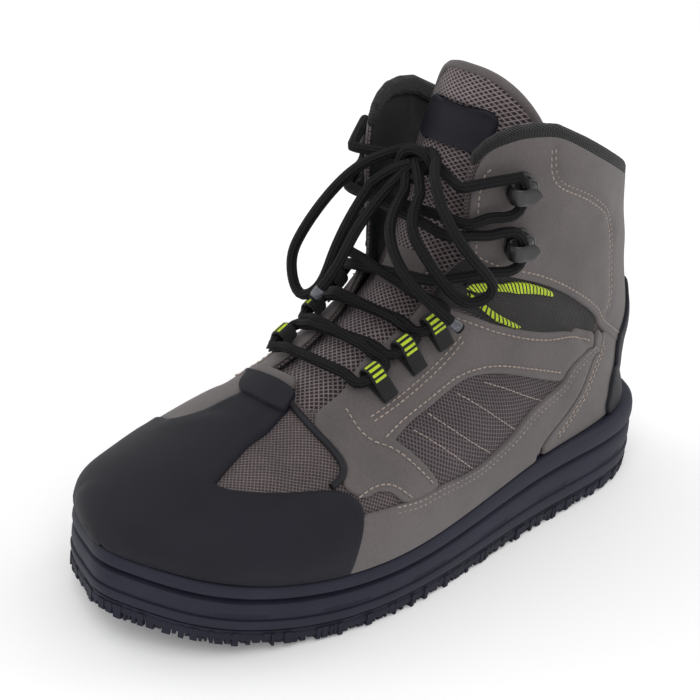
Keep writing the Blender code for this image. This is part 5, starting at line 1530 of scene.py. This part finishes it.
# Least value and random spread of the short blocks at the edge
BLOCK_LONG = (0.0012, 0.0024)
BLOCK_GAP = (0.0002, 0.0006)
BLOCK_DEEP = (0.0040, 0.0016)
BLOCK_DROP = (0.62, 0.38)
BLOCK_INSET = (0.0004, 0.0014)
BLOCK_TAPER = (0.80, 0.16)
BLOCK_TILT = 0.0004
BLOCK_END = 0.0030

# Share of the height and step outwards
SOLE_PROFILE = [
    (0.000, -0.0020), (0.012, -0.0012), (0.045, -0.0006), (0.120, -0.0004), (0.200, -0.0002),
    (0.222, -0.0004),
    (0.234, -0.0014), (0.252, -0.0015), (0.268, -0.0009), (0.290, -0.0008), (0.315, -0.0007),
    (0.345, -0.0006), (0.370, -0.0006), (0.400, -0.0005), (0.540, -0.0006), (0.585, -0.0010),
    (0.605, -0.0018), (0.622, -0.0032), (0.645, -0.0038), (0.668, -0.0036), (0.688, -0.0024),
    (0.704, -0.0012), (0.730, -0.0006), (0.800, -0.0004), (0.900, -0.0006), (0.955, -0.0010),
    (0.985, -0.0018), (1.000, -0.0030),
]


def plate_top(share):
    return LUG_HEIGHT + PLATE_THICK + spring(share)


def sole_cuts(share, ring, rise):
    """Depth of the short level slots above the step line along both sides."""
    run = lengths(ring)
    slot = (run % CUT_PITCH < CUT_LONG) & (0.27 < rise < 0.36) & (np.abs(share - 0.5) < 0.42)
    return np.where(slot, CUT_DEEP, 0.0)


def sole_rings(count):
    ring, share, side = sole_outline(count)
    rings = []
    for rise, out in SOLE_PROFILE:
        ring_out = ring + side * (out - sole_cuts(share, ring, rise))[:, None]
        z = plate_top(share) + (rand_height(share) - plate_top(share)) * rise
        rings.append(np.concatenate([ring_out, z[:, None]], 1))
    return rings


def midsole():
    rings = sole_rings(SOLE_COUNT)
    ring, _, side = sole_outline(SOLE_COUNT)
    for inset, down in ((0.0050, 0.0), (0.0120, 0.0008)):
        line = rings[-1].copy()
        line[:, :2] = ring - side * inset
        line[:, 2] -= down
        rings.append(line)
    stack("midsole_rubber", rings, SOLE_RUBBER, "sole", ["midsole"], lambda p: (p[0] + p[1], p[2]), 38.0)


def clip_polygon(polygon, start, stop):
    """Part of the polygon on the left of a line."""
    way = stop - start
    out = []
    for p, q in zip(polygon, np.roll(polygon, -1, 0)):
        dp = way[0] * (p[1] - start[1]) - way[1] * (p[0] - start[0])
        dq = way[0] * (q[1] - start[1]) - way[1] * (q[0] - start[0])
        if dp >= 0:
            out.append(p)
        if (dp >= 0) != (dq >= 0):
            out.append(p + (q - p) * dp / (dp - dq))
    return np.array(out).reshape(-1, 2)


def prism(points, faces, low, high, lows, highs):
    """Adds a block between two matching outlines."""
    first = len(points)
    count = len(low)
    points += [(*p, z) for p, z in zip(low, lows)] + [(*p, z) for p, z in zip(high, highs)]
    faces.append(tuple(first + k for k in range(count))[::-1])
    faces.append(tuple(first + count + k for k in range(count)))
    for k in range(count):
        m = (k + 1) % count
        faces.append((first + k, first + m, first + count + m, first + count + k))


def lug_outlines(edge):
    """Pentagons in leaning rows, cut off at the edge, and whether each is one of the lower ones."""
    for i in range(-LUG_COUNT, LUG_COUNT):
        for j in range(-LUG_COUNT, LUG_COUNT):
            x = (i + 0.5 * (j % 2)) * LUG_PITCH[0]
            y = j * LUG_PITCH[1] + x * LUG_LEAN
            angles = LUG_TURN + 2 * np.pi * (np.arange(5) + 0.5 * (i % 2)) / 5
            lug = np.stack([x + LUG_RADIUS * np.cos(angles), y + LUG_RADIUS * np.sin(angles)], -1)
            near = np.linalg.norm(edge - (x, y), axis=1)
            if near.min() < 2 * LUG_RADIUS:
                for k in np.argsort(near)[:6]:
                    for start, stop in ((k, (k + 1) % len(edge)), (k - 1, k)):
                        lug = clip_polygon(lug, edge[start], edge[stop]) if len(lug) > 2 else lug
            elif not inside_loop(np.array([(x, y)]), edge)[0]:
                continue
            if len(lug) > 2 and area(lug) >= LEAST_LUG_AREA:
                yield lug, (i + 2 * j) % 3 == 0


def drawn(rng, size, power=1.0):
    return size[0] + size[1] * rng.random() ** power


def edge_blocks(ring, side):
    """Outline, outline of the tip and drop of each short block round the edge."""
    step = np.linalg.norm(np.diff(ring, axis=0, append=ring[:1]), axis=1)
    run = np.concatenate([[0], np.cumsum(step)])
    rng = np.random.default_rng(7)
    at = 0.0
    while at < run[-1] - BLOCK_END:
        long, gap, deep = drawn(rng, BLOCK_LONG), drawn(rng, BLOCK_GAP), drawn(rng, BLOCK_DEEP)
        drop = LUG_HEIGHT * drawn(rng, BLOCK_DROP, 0.5)
        inset = drawn(rng, BLOCK_INSET)
        corners, outs = [], []
        for s in (at, at + long):
            index = min(np.searchsorted(run, s % run[-1], side="right") - 1, len(ring) - 1)
            part = (s % run[-1] - run[index]) / step[index]
            following = ring[(index + 1) % len(ring)]
            corners.append(ring[index] + (following - ring[index]) * part)
            outs.append(side[index])
        at += long + gap
        outer = [c - o * inset for c, o in zip(corners, outs)]
        inner = [c - o * deep for c, o in zip(corners, outs)]
        block = np.array([outer[0], outer[1], inner[1], inner[0]])
        if area(block) < 0:
            block = block[::-1]
        centre = block.mean(0)
        tip = centre + (block - centre) * drawn(rng, BLOCK_TAPER) + BLOCK_TILT * (rng.random(2) - 0.5)
        yield block, tip, drop


def outsole():
    """Plate with pentagonal lugs and the short blocks that make the ragged edge."""
    ring, share, side = sole_outline(180)
    points, faces = [], []
    plate = ring - side * PLATE_INSET
    base = LUG_HEIGHT + spring(share)
    prism(points, faces, plate, plate, base, base + PLATE_THICK - SEAT_GAP)
    for lug, is_lower in lug_outlines((ring - side * LUG_INSET)[::3]):
        centre = lug.mean(0)
        low = spring(np.clip(lug[:, 1] / SOLE_LENGTH + 0.5, 0, 1))
        tip = centre + (lug - centre) * LUG_TAPER
        prism(points, faces, tip, lug, low + (LUG_LOWER if is_lower else 0), low + LUG_HEIGHT + LUG_JOIN)
    for block, tip, drop in edge_blocks(ring, side):
        top = spring(np.clip(block[:, 1] / SOLE_LENGTH + 0.5, 0, 1)) + LUG_HEIGHT
        prism(points, faces, tip, block, top - drop, top + LUG_JOIN)
    points = np.array(points)
    uvs = [[(points[v][0], points[v][1]) for v in f] for f in faces]
    add("outsole_tread", points, faces, [TREAD_RUBBER], "sole", ["outsole"], uvs, crisp=25.0)


def tread_skirt():
    """Plain band behind the short blocks, so that only their lower ends look ragged."""
    ring, share, side = sole_outline(SOLE_COUNT)
    height = spring(share) + 0.72 * LUG_HEIGHT
    path = np.concatenate([ring - side * SKIRT_INSET, height[:, None]], 1)
    out = np.concatenate([side, np.zeros((len(side), 1))], 1)
    up = np.repeat(np.array([(0.0, 0.0, 1.0)]), len(path), 0)
    profile = flat_profile(SKIRT_HALF, 0.28 * LUG_HEIGHT, 12)[::-1]
    sweep("tread_skirt", path, out, up, profile, [TREAD_RUBBER], "sole", closed=True)


def insole():
    share = (1 - np.cos(np.linspace(0, np.pi, 61))) / 2
    rings = []
    for inset, lift in ((0.0002, 0.0), (0.0, 0.0012), (0.0006, 0.0026), (0.0022, 0.0033), (0.0080, 0.0030),
                        (0.0200, 0.0022)):
        ends = FOOTBED_FORE + inset, FOOTBED_HEEL + inset
        lateral, medial = feather(share, 1, *ends), feather(share, -1, *ends) * (-1, 1, 1)
        ring = np.concatenate([lateral, medial[-2:0:-1]])
        rings.append(ring + (0, 0, lift))
    stack("insole_cloth", rings, FOOTBED, "foam", ["insole"], lambda p: (p[0], p[1]))


# Tongue

def tongue_pad(where, rim):
    """Padded middle with two soft channels and folds at the ankle."""
    t, v = where[:, 0], where[:, 1]
    pad = 0.0007 * ease(0.0, 0.006, rim)
    channels = 0.0009 * np.exp(-((np.abs(v) - 0.55) / 0.07) ** 2)
    folds = sum(0.0006 * np.exp(-((t - at) / 0.022) ** 2) for at in (0.36, 0.47, 0.58))
    return pad - channels - folds * (1 - 0.5 * np.abs(v))


def tongue_pieces():
    fall = [(1 - TONGUE_FALL * abs(v) ** 3, v) for v in np.linspace(1, -1, 25)]
    loop = np.array([(0.0, -1.0), (0.0, 0.0), (0.0, 1.0)] + fall)
    piece = laid("tongue_cloth", [loop], TONGUE_FACE, -0.0034, 0.0, [TONGUE_MESH, LINING], "mesh", ["tongue"],
                 step=0.0026, edge=0.0016, both=True, shape=tongue_pad)
    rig.padded(piece, 0.5)
    band = [(t, v * 1.01) for t, v in fall] + [(t - 0.026, v * 0.96) for t, v in fall[::-1]]
    laid("tongue_top_binding", [np.array(band)], TONGUE_FACE, -0.0042, 0.0011, [TAUPE], "taupe", step=0.0018,
         edge=0.0014, both=True)
    badge()
    keeper = np.array([(0.43, -0.42), (0.43, 0.42), (0.53, 0.42), (0.53, -0.42)])
    laid("lace_keeper", [keeper], TONGUE_FACE, 0.0002, 0.0014, [TAUPE], "taupe", step=0.0020)


def badge():
    """Plain plate with round corners."""
    half_wide, half_high, corner = BADGE
    loop = []
    for sx, sz in ((1, 1), (-1, 1), (-1, -1), (1, -1)):
        middle = np.array([(half_wide - corner) * sx, (half_high - corner) * sz])
        begin = np.arctan2(sz, sx) - np.pi / 4
        turns = np.linspace(begin, begin + np.pi / 2, 6)
        loop += [middle + corner * np.array([np.cos(t), np.sin(t)]) for t in turns]
    loop = np.array([(BADGE_AT + z / TONGUE_LONG, x / TONGUE_WIDE) for x, z in loop])
    laid("tongue_badge_plate", [tongue_chart(loop)], TONGUE_CHARTED, 0.0006, 0.0023, [RUBBER], "rubber",
         ["tongue_badge"], step=0.0014, edge=0.0006, smooth=False, shape=badge_rim)


def badge_rim(_, rim):
    """Raised plain rim round an even field."""
    return 0.0005 * np.exp(-((rim - 0.0012) / 0.0006) ** 2) - 0.0003 * ease(0.0018, 0.0026, rim)


TONGUE_CHARTED = (at_tongue, same, tongue_unchart)


# Lace loops, hooks, drains and the pull loop

def frame_at(a, b, towards, lift):
    """Place on the upper: point, direction to the throat, direction along the boot, normal."""
    point = form(a, b)
    n = unit(form_normal(a, b))
    along = form(min(a + NUDGE, 1), b) - form(a - NUDGE, b)
    along = unit(along - n * (along @ n))
    throat = np.cross(n, along)
    throat *= np.sign(throat @ (form(a, b + towards * NUDGE) - form(a, b)))
    return point + n * lift, throat, along, n


def arc(centre, radius, begin, stop, steps):
    angles = np.linspace(begin, stop, steps)
    return [(centre[0] + radius * np.cos(t), centre[1] + radius * np.sin(t)) for t in angles]


def strip(name, flat_path, half_wide, half_thick, place, paint, slot, replaces, taper=None, power=4.0):
    """Bent strip whose middle line lies in the plane of throat and normal."""
    point, throat, along, n = place
    path2 = spline(flat_path, 0.0008)
    way = unit(np.gradient(path2, axis=0))
    path = point + path2[:, :1] * throat + path2[:, 1:] * n
    up = -way[:, 1:] * throat + way[:, :1] * n
    side = np.repeat(along[None], len(path), 0)
    profile = np.repeat(flat_profile(half_wide, half_thick, power=power)[None], len(path), 0)
    if taper is not None:
        share = np.linspace(0, 1, len(path))
        profile[..., 0] *= taper(share)[:, None]
    return sweep(name, path, side, up, profile, [paint], slot, replaces)


WEB_HALF = (0.0036, 0.00055)
WEB_TAIL = -0.0070
WEB_REST = 0.0015
HOOK_HALF = (0.0035, 0.0008)
HOOK_TAIL = -0.0062
HOOK_FOOT = 0.0015
EYE_AT = 0.0048
BUTTON_AT = (-0.0030, 0.0026)

# Radius and height of the turned pieces, from the rim to the middle
HOOK_BASE = [(0.0062, 0.0), (0.0066, 0.0004), (0.0064, 0.0010), (0.0056, 0.0013), (0.0048, 0.0012),
             (0.0030, 0.0014), (0.0001, 0.0015)]
BUTTON = [(0.0042, 0.0), (0.0043, 0.0005), (0.0040, 0.0011), (0.0033, 0.0014), (0.0031, 0.0012),
          (0.0024, 0.0017), (0.0015, 0.0021), (0.0001, 0.0023)]


def web_path():
    """Webbing from its tail on the eyestay, round the lace and back over itself."""
    middle = WEB_HALF[1]
    radius = EYE_RADIUS + middle
    centre = (EYE_AT, radius + middle)
    back = arc(centre, radius, -np.pi / 2, np.pi * 0.62, 10)
    last = back[-1]
    rest = [(last[0] - EYE_RADIUS, last[1] * 0.62 + 2 * middle), (WEB_TAIL, middle + WEB_REST)]
    return [(WEB_TAIL, middle), (0.0, middle)] + back + rest, centre


def hook_path():
    middle = HOOK_FOOT + HOOK_HALF[1]
    radius = EYE_RADIUS + HOOK_HALF[1]
    centre = (EYE_AT - 0.0012, radius + middle)
    back = arc(centre, radius, -np.pi / 2, np.pi * 0.55, 10)
    return [(HOOK_TAIL, middle), (0.0, middle)] + back + [(HOOK_TAIL * 0.55, back[-1][1] + 0.0012)], centre


def lathe(name, place, profile, sides, paint, slot, replaces=()):
    """Turned piece about a normal: profile is radius and height from the rim to the middle."""
    point, throat, along, n = place
    angles = 2 * np.pi * np.arange(sides) / sides
    points = []
    for radius, height in profile:
        points += [point + radius * (np.cos(t) * throat + np.sin(t) * along) + n * height for t in angles]
    levels = len(profile)
    faces = band_faces(levels, sides)
    faces.append(tuple(range(sides))[::-1])
    faces.append(tuple((levels - 1) * sides + k for k in range(sides)))
    uvs = [[(points[v] @ throat, points[v] @ along) for v in f] for f in faces]
    return add(name, points, faces, [paint], slot, replaces, uvs)


def hook_taper(share):
    """Narrow foot, full curl and half-round tip."""
    tip = np.clip((share - 0.88) / 0.12, 0, 1)
    return (0.62 + 0.38 * ease(0.0, 0.25, share)) * np.sqrt(1.02 - tip ** 2)


def lace_hardware():
    """Webbing loops on the eyestays and speed hooks on the shaft; gives the centre of each eye."""
    eyes = {1: [], -1: []}
    for side, word in ((1, "lateral"), (-1, "medial")):
        path, eye = web_path()
        for number, (a, b) in enumerate(WEB_AT, 1):
            place = frame_at(a, b * side, -side, TRIM)
            strip(f"webbing_loop_{word}_{number}", path, *WEB_HALF, place, WEBBING, "webbing",
                  [f"lace_loop_{word}_{number}"])
            eyes[side].append((place[0] + place[1] * eye[0] + place[3] * eye[1], place[1], place[2]))
        path, eye = hook_path()
        for number, (a, b) in enumerate(HOOK_AT, 1):
            place = frame_at(a, b * side, -side, TRIM)
            lathe(f"hook_plate_{word}_{number}", place, HOOK_BASE, 40, HOOK, "hook",
                  [f"hook_base_{word}_{number}"])
            strip(f"speed_hook_{word}_{number}", path, *HOOK_HALF, place, HOOK, "hook",
                  [f"hook_{word}_{number}"], hook_taper, 2.4)
            button = (place[0] + place[1] * BUTTON_AT[0] + place[3] * BUTTON_AT[1], *place[1:])
            lathe(f"hook_button_{word}_{number}", button, BUTTON, 32, HOOK, "hook")
            eyes[side].append((place[0] + place[1] * eye[0] + place[3] * eye[1], place[1], place[2]))
    return eyes


def grommets():
    for number, (a, b) in enumerate(DRAINS, 1):
        point, throat, along, n = frame_at(a, b, 1, TRIM)
        angles = np.linspace(0, 2 * np.pi, 41)[:-1]
        centre_line = [point + 0.0046 * (np.cos(t) * throat + np.sin(t) * along) for t in angles]
        side = [np.cos(t) * throat + np.sin(t) * along for t in angles]
        up = np.repeat(n[None], len(angles), 0)
        profile = flat_profile(0.0014, 0.0007, 14, 2.4) + (0, 0.0005)
        sweep(f"drain_ring_{number}", centre_line, side, up, profile, [METAL], "metal",
              [f"drain_grommet_{number}"], closed=True)


def pull_loop():
    point, _, up, out = frame_at(0.868, 1.0, -1, COUNTER[1] + 0.0003)
    half = 0.0100
    bend = [(half * np.cos(t), 0.0006 + 0.0056 * np.sin(t)) for t in np.linspace(np.pi, 0, 12)]
    place = (point, up, np.cross(out, up), out)
    strip("pull_loop_webbing", bend, 0.0055, 0.0006, place, PLAIN_WEBBING, "webbing", ["pull_loop"])
    tab = [(-0.0030, 0.0058), (0.0, 0.0069), (0.0045, 0.0062), (0.0088, 0.0042)]
    strip("pull_loop_tab", tab, 0.0048, 0.0005, place, TAUPE, "taupe", ())


def cap_tab():
    """End of the cap's strap, folded over the foot of the throat, and the taupe tab behind it."""
    strap = [(0.376, 0.122), (0.404, 0.082), (0.409, 0.000), (0.412, -0.100), (0.418, -0.290),
             (0.384, -0.205), (0.376, -0.100), (0.373, 0.010)]
    laid("cap_strap_tab", [np.array(strap)], FORM, 0.0024, 0.0042, [RUBBER], "rubber", edge=0.0006)
    tab = [(0.410, 0.030), (0.424, 0.010), (0.428, -0.120), (0.438, -0.310), (0.422, -0.320), (0.412, -0.120)]
    laid("vamp_tab", [np.array(tab)], FORM, 0.0006, 0.0022, [TAUPE], "taupe", edge=0.0007)


def piping():
    """Dark corded edge between the mesh vamp and the quarter of the lateral side."""
    points, n = on_form(spline(form_chart(PIPING), 0.002), 1, 0.0012)
    across = np.cross(n, unit(np.gradient(points, axis=0)))
    sweep("vamp_piping_lateral", points, across, n, round_profile(0.0014, 10), [PIPE], "rubber",
          uv_scale=0.0009)


# Lace

# Half width, half height, start and half pitch of the knot's coil, and all cord points from the knot, in mm
KNOT_COIL = (7.0, 5.5, -6.0, 3.0)
JOINS = {
    "lace_join_bow_medial": [(5, -7, -3), (-3, -4, 4), (-11, -8, 2)],
    "lace_join_bow_lateral": [(-5, -7, -3), (3, -4, 5), (11, -8, 4)],
    "lace_join_end_lateral": [(-4, -6, -1), (-1, -11, -4), (4, -17, -9)],
    "lace_join_end_medial": [(2, -6, 2), (-2, -12, -4), (-4, -18, -10)],
    "lace_join_back_medial": [(-12, -19, -10), (-7, -14, -4), (-1, -9, 0)],
    "lace_join_back_lateral": [(12, -17, -8), (6, -12, -3), (0, -8, 1)],
}
KNOT_T = 0.745
KNOT = tongue(KNOT_T, 0.0) + tongue_normal(KNOT_T, 0.0) * 0.0075
CORDS = {
    "lace_bow_medial": [(-11, -8, 2), (-19, -20, -5), (-27, -31, -21), (-32, -37, -36), (-33, -39, -47),
                        (-25, -41, -57), (-16, -40, -51), (-13, -37, -38), (-12, -30, -23), (-12, -19, -10)],
    "lace_bow_lateral": [(11, -8, 4), (20, -19, 2), (33, -26, -8), (45, -20, -24), (48, -10, -38),
                         (43, -17, -43), (33, -28, -31), (21, -30, -17), (12, -17, -8)],
    "lace_end_lateral": [(4, -17, -9), (13, -34, -19), (25, -38, -31), (37, -33, -42), (45, -23, -52)],
    "lace_end_medial": [(-4, -18, -10), (-4, -34, -24), (-7, -40, -39), (-13, -46, -54)],
}


def front_samples():
    front_a, front_b = np.meshgrid(np.linspace(0.42, 1, 140), np.linspace(0.140, 0.320, 30))
    t, v = np.meshgrid(np.linspace(0, 1, 160), np.linspace(-0.6, 0.6, 41))
    normals = [tongue_normal(t, v).reshape(-1, 3)]
    places = [tongue(t, v).reshape(-1, 3)]
    for side in (-1, 1):
        n = form_normal(front_a, front_b * side).reshape(-1, 3)
        normals.append(n)
        places.append(form(front_a, front_b * side).reshape(-1, 3) + n * LAID[1])
    places = np.concatenate(places)
    return places, np.concatenate(normals), tree_of(places)


def drape(front, begin, stop, shares, lift=0.0, least=9):
    """Points of the lace pulled taut between two places, clear of the tongue and the upper."""
    places, normals, tree = front
    count = max(least, round(np.linalg.norm(stop - begin) / LACE_STEP))
    along = np.linspace(0, 1, count + 1)
    points = begin + (stop - begin) * along[:, None] + np.sin(np.pi * along)[:, None] * LACE_BULGE
    for _ in range(PULL_ROUNDS):
        points[1:-1] = (points[:-2] + points[2:]) / 2
        for i in range(1, count):
            _, k, distance = tree.find(points[i])
            away = LACE_RADIUS + LACE_CLEAR + lift * np.sin(np.pi * along[i]) ** 4
            if distance < away:
                points[i] += normals[k] * max(0, away - (points[i] - places[k]) @ normals[k])
    return [p for p, at in zip(points, along) if shares[0] <= at <= shares[1]]


def lace_points(front, eyes, first_side, lifts):
    """Lace from the middle of the bar through the eyes on alternate sides to the knot."""
    enter = {side: [c - along * EYE_REACH for c, _, along in eyes[side]] for side in eyes}
    leave = {side: [c + along * EYE_REACH for c, _, along in eyes[side]] for side in eyes}
    points = drape(front, enter[-first_side][0], enter[first_side][0], (0.44, 0.90))
    side = first_side
    for k in range(len(lifts)):
        points += [enter[side][k], leave[side][k]]
        points += drape(front, leave[side][k], enter[-side][k + 1], (0.10, 0.90), lifts[k])
        side = -side
    points += [enter[side][-1], leave[side][-1]]
    stop = KNOT + np.array([0.0040 * side, 0, 0])
    points += drape(front, leave[side][-1], stop, (0.05, 0.85), least=24)
    return np.array(points + [stop])


def laces(eyes):
    front = front_samples()
    over = [LACE_RADIUS, 0, LACE_RADIUS, 0]
    under = [LACE_RADIUS - lift for lift in over]
    lace_tube("lace_run_first", lace_points(front, eyes, 1, over), ["lace_run"])
    lace_tube("lace_run_second", lace_points(front, eyes, -1, under))
    turns = np.linspace(0, 2 * np.pi, 12)[:-1]
    wide, high, begin, rate = KNOT_COIL
    coil = [KNOT + MILLIMETRE * np.array((wide * np.cos(t), begin - rate * t / np.pi, high * np.sin(t)))
            for t in turns]
    piece, path = lace_tube("lace_knot_wrap", coil, ["lace_knot"])
    declare(piece, path, "knot")
    for name, points in CORDS.items():
        points = [KNOT + np.array(p) * MILLIMETRE for p in points]
        piece, path = lace_tube(name + "_braid", points, [name])
        if "end" in name:
            tip = unit(path[-1] - path[-3])
            shaft = [path[-1] + tip * MILLIMETRE * s for s in (-7.0, -5.0, -2.0, 0.4)]
            sleeve, _ = lace_tube(name + "_aglet", shaft, (), AGLET_RADIUS, 0.0014, AGLET, True)
            declare(piece, path, "fitting", [sleeve])
        else:
            declare(piece, path, "object")
    for name, points in JOINS.items():
        lace_tube(name, [KNOT + np.array(p) * MILLIMETRE for p in points])


def declare(piece, path, far_end, others=()):
    length = float(lengths(path)[-1])
    path = path + (SHIFT, 0, 0)
    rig.cord(piece, exit=path[0], length=length, diameter=2 * LACE_RADIUS, far_end=far_end, stiffness="limp",
            lay="loose", path=path, with_pieces=list(others))


# Stage, light and camera

CAMERA_AIM = np.array([-0.028223, 0.004376, 0.068739])
CAMERA_FAR = 0.820
CAMERA_AZIMUTH = 41.304
CAMERA_HEIGHT = 23.568
CAMERA_ROLL = 5.879
CAMERA_LENS = 98.7


def camera():
    azimuth, height, roll = np.radians((CAMERA_AZIMUTH, CAMERA_HEIGHT, CAMERA_ROLL))
    back = np.array([np.sin(azimuth) * np.cos(height), -np.cos(azimuth) * np.cos(height), np.sin(height)])
    right = np.array([np.cos(azimuth), np.sin(azimuth), 0])
    up = np.cross(back, right)
    rolled_right = right * np.cos(roll) + up * np.sin(roll)
    rolled_up = up * np.cos(roll) - right * np.sin(roll)
    turned = Matrix(np.stack([rolled_right, rolled_up, back], 1).tolist()).to_4x4()
    turned.translation = Vector(CAMERA_AIM + back * CAMERA_FAR + (SHIFT, 0, 0))
    data = bpy.data.cameras.new("camera")
    data.lens = CAMERA_LENS
    data.sensor_width = 36.0
    data.clip_end = 20.0
    made = bpy.data.objects.new("camera", data)
    made.matrix_world = turned
    bpy.context.scene.collection.objects.link(made)
    bpy.context.scene.camera = made


def light(name, place, size, power, aim=(0, 0, 0.08)):
    data = bpy.data.lights.new(name, "AREA")
    data.size = size
    data.energy = power
    made = bpy.data.objects.new(name, data)
    made.location = place
    made.rotation_euler = (Vector(aim) - Vector(place)).to_track_quat("-Z", "Y").to_euler()
    bpy.context.scene.collection.objects.link(made)


FLOOR_HALF = 6.0
FLOOR_GREY = 0.96
FLOOR_GLOW = 0.10
WORLD_STRENGTH = 0.72
# Place, size and power
LIGHTS = {
    "key": ((0.9, -1.1, 1.3), 1.2, 9.5),
    "fill": ((-1.1, -0.7, 0.9), 1.4, 4.5),
    "rim": ((0.3, 1.2, 1.0), 1.0, 4.5),
}


def floor():
    mesh = bpy.data.meshes.new("floor")
    corners = [(x * FLOOR_HALF, y * FLOOR_HALF, 0) for x, y in ((-1, -1), (1, -1), (1, 1), (-1, 1))]
    mesh.from_pydata(corners, [], [(0, 1, 2, 3)])
    made = bpy.data.objects.new("floor", mesh)
    paint, _, shader, _, _ = start("floor_paint", 0.9, specular=0.1)
    shader.inputs["Base Color"].default_value = grey(FLOOR_GREY)
    shader.inputs["Emission Color"].default_value = grey(1.0)
    shader.inputs["Emission Strength"].default_value = FLOOR_GLOW
    mesh.materials.append(paint)
    bpy.context.scene.collection.objects.link(made)
    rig.stage(made)


def stage():
    floor()
    world = bpy.data.worlds.new("studio")
    world.use_nodes = True
    world.node_tree.nodes["Background"].inputs["Color"].default_value = grey(1.0)
    world.node_tree.nodes["Background"].inputs["Strength"].default_value = WORLD_STRENGTH
    bpy.context.scene.world = world
    for name, (place, size, power) in LIGHTS.items():
        light(name, place, size, power)
    bpy.context.scene.view_settings.view_transform = "Standard"


def cad_shift():
    """How far the CAD moved the boot sideways to centre it."""
    share = (1 - np.cos(np.linspace(0, np.pi, 29))) / 2
    middle = (half_width(share, 1).max() - half_width(share, -1).max()) / 2
    low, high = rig.box("midsole")
    return (low.x + high.x) / 2 - middle


SHIFT = cad_shift()
camera()
stage()
EYES = lace_hardware()
laces(EYES)
upper()
ankle_insets()
toe_cap()
quarters()
bands()
heel_and_shaft()
elastics()
collar_binding()
stitches()
midsole()
outsole()
tread_skirt()
insole()
tongue_pieces()
grommets()
pull_loop()
cap_tab()
piping()

with open("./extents.json", "w") as out:
    json.dump({"cad": [list(p) for p in CAD_BOX], "visual": [list(p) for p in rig.bounds()]}, out)
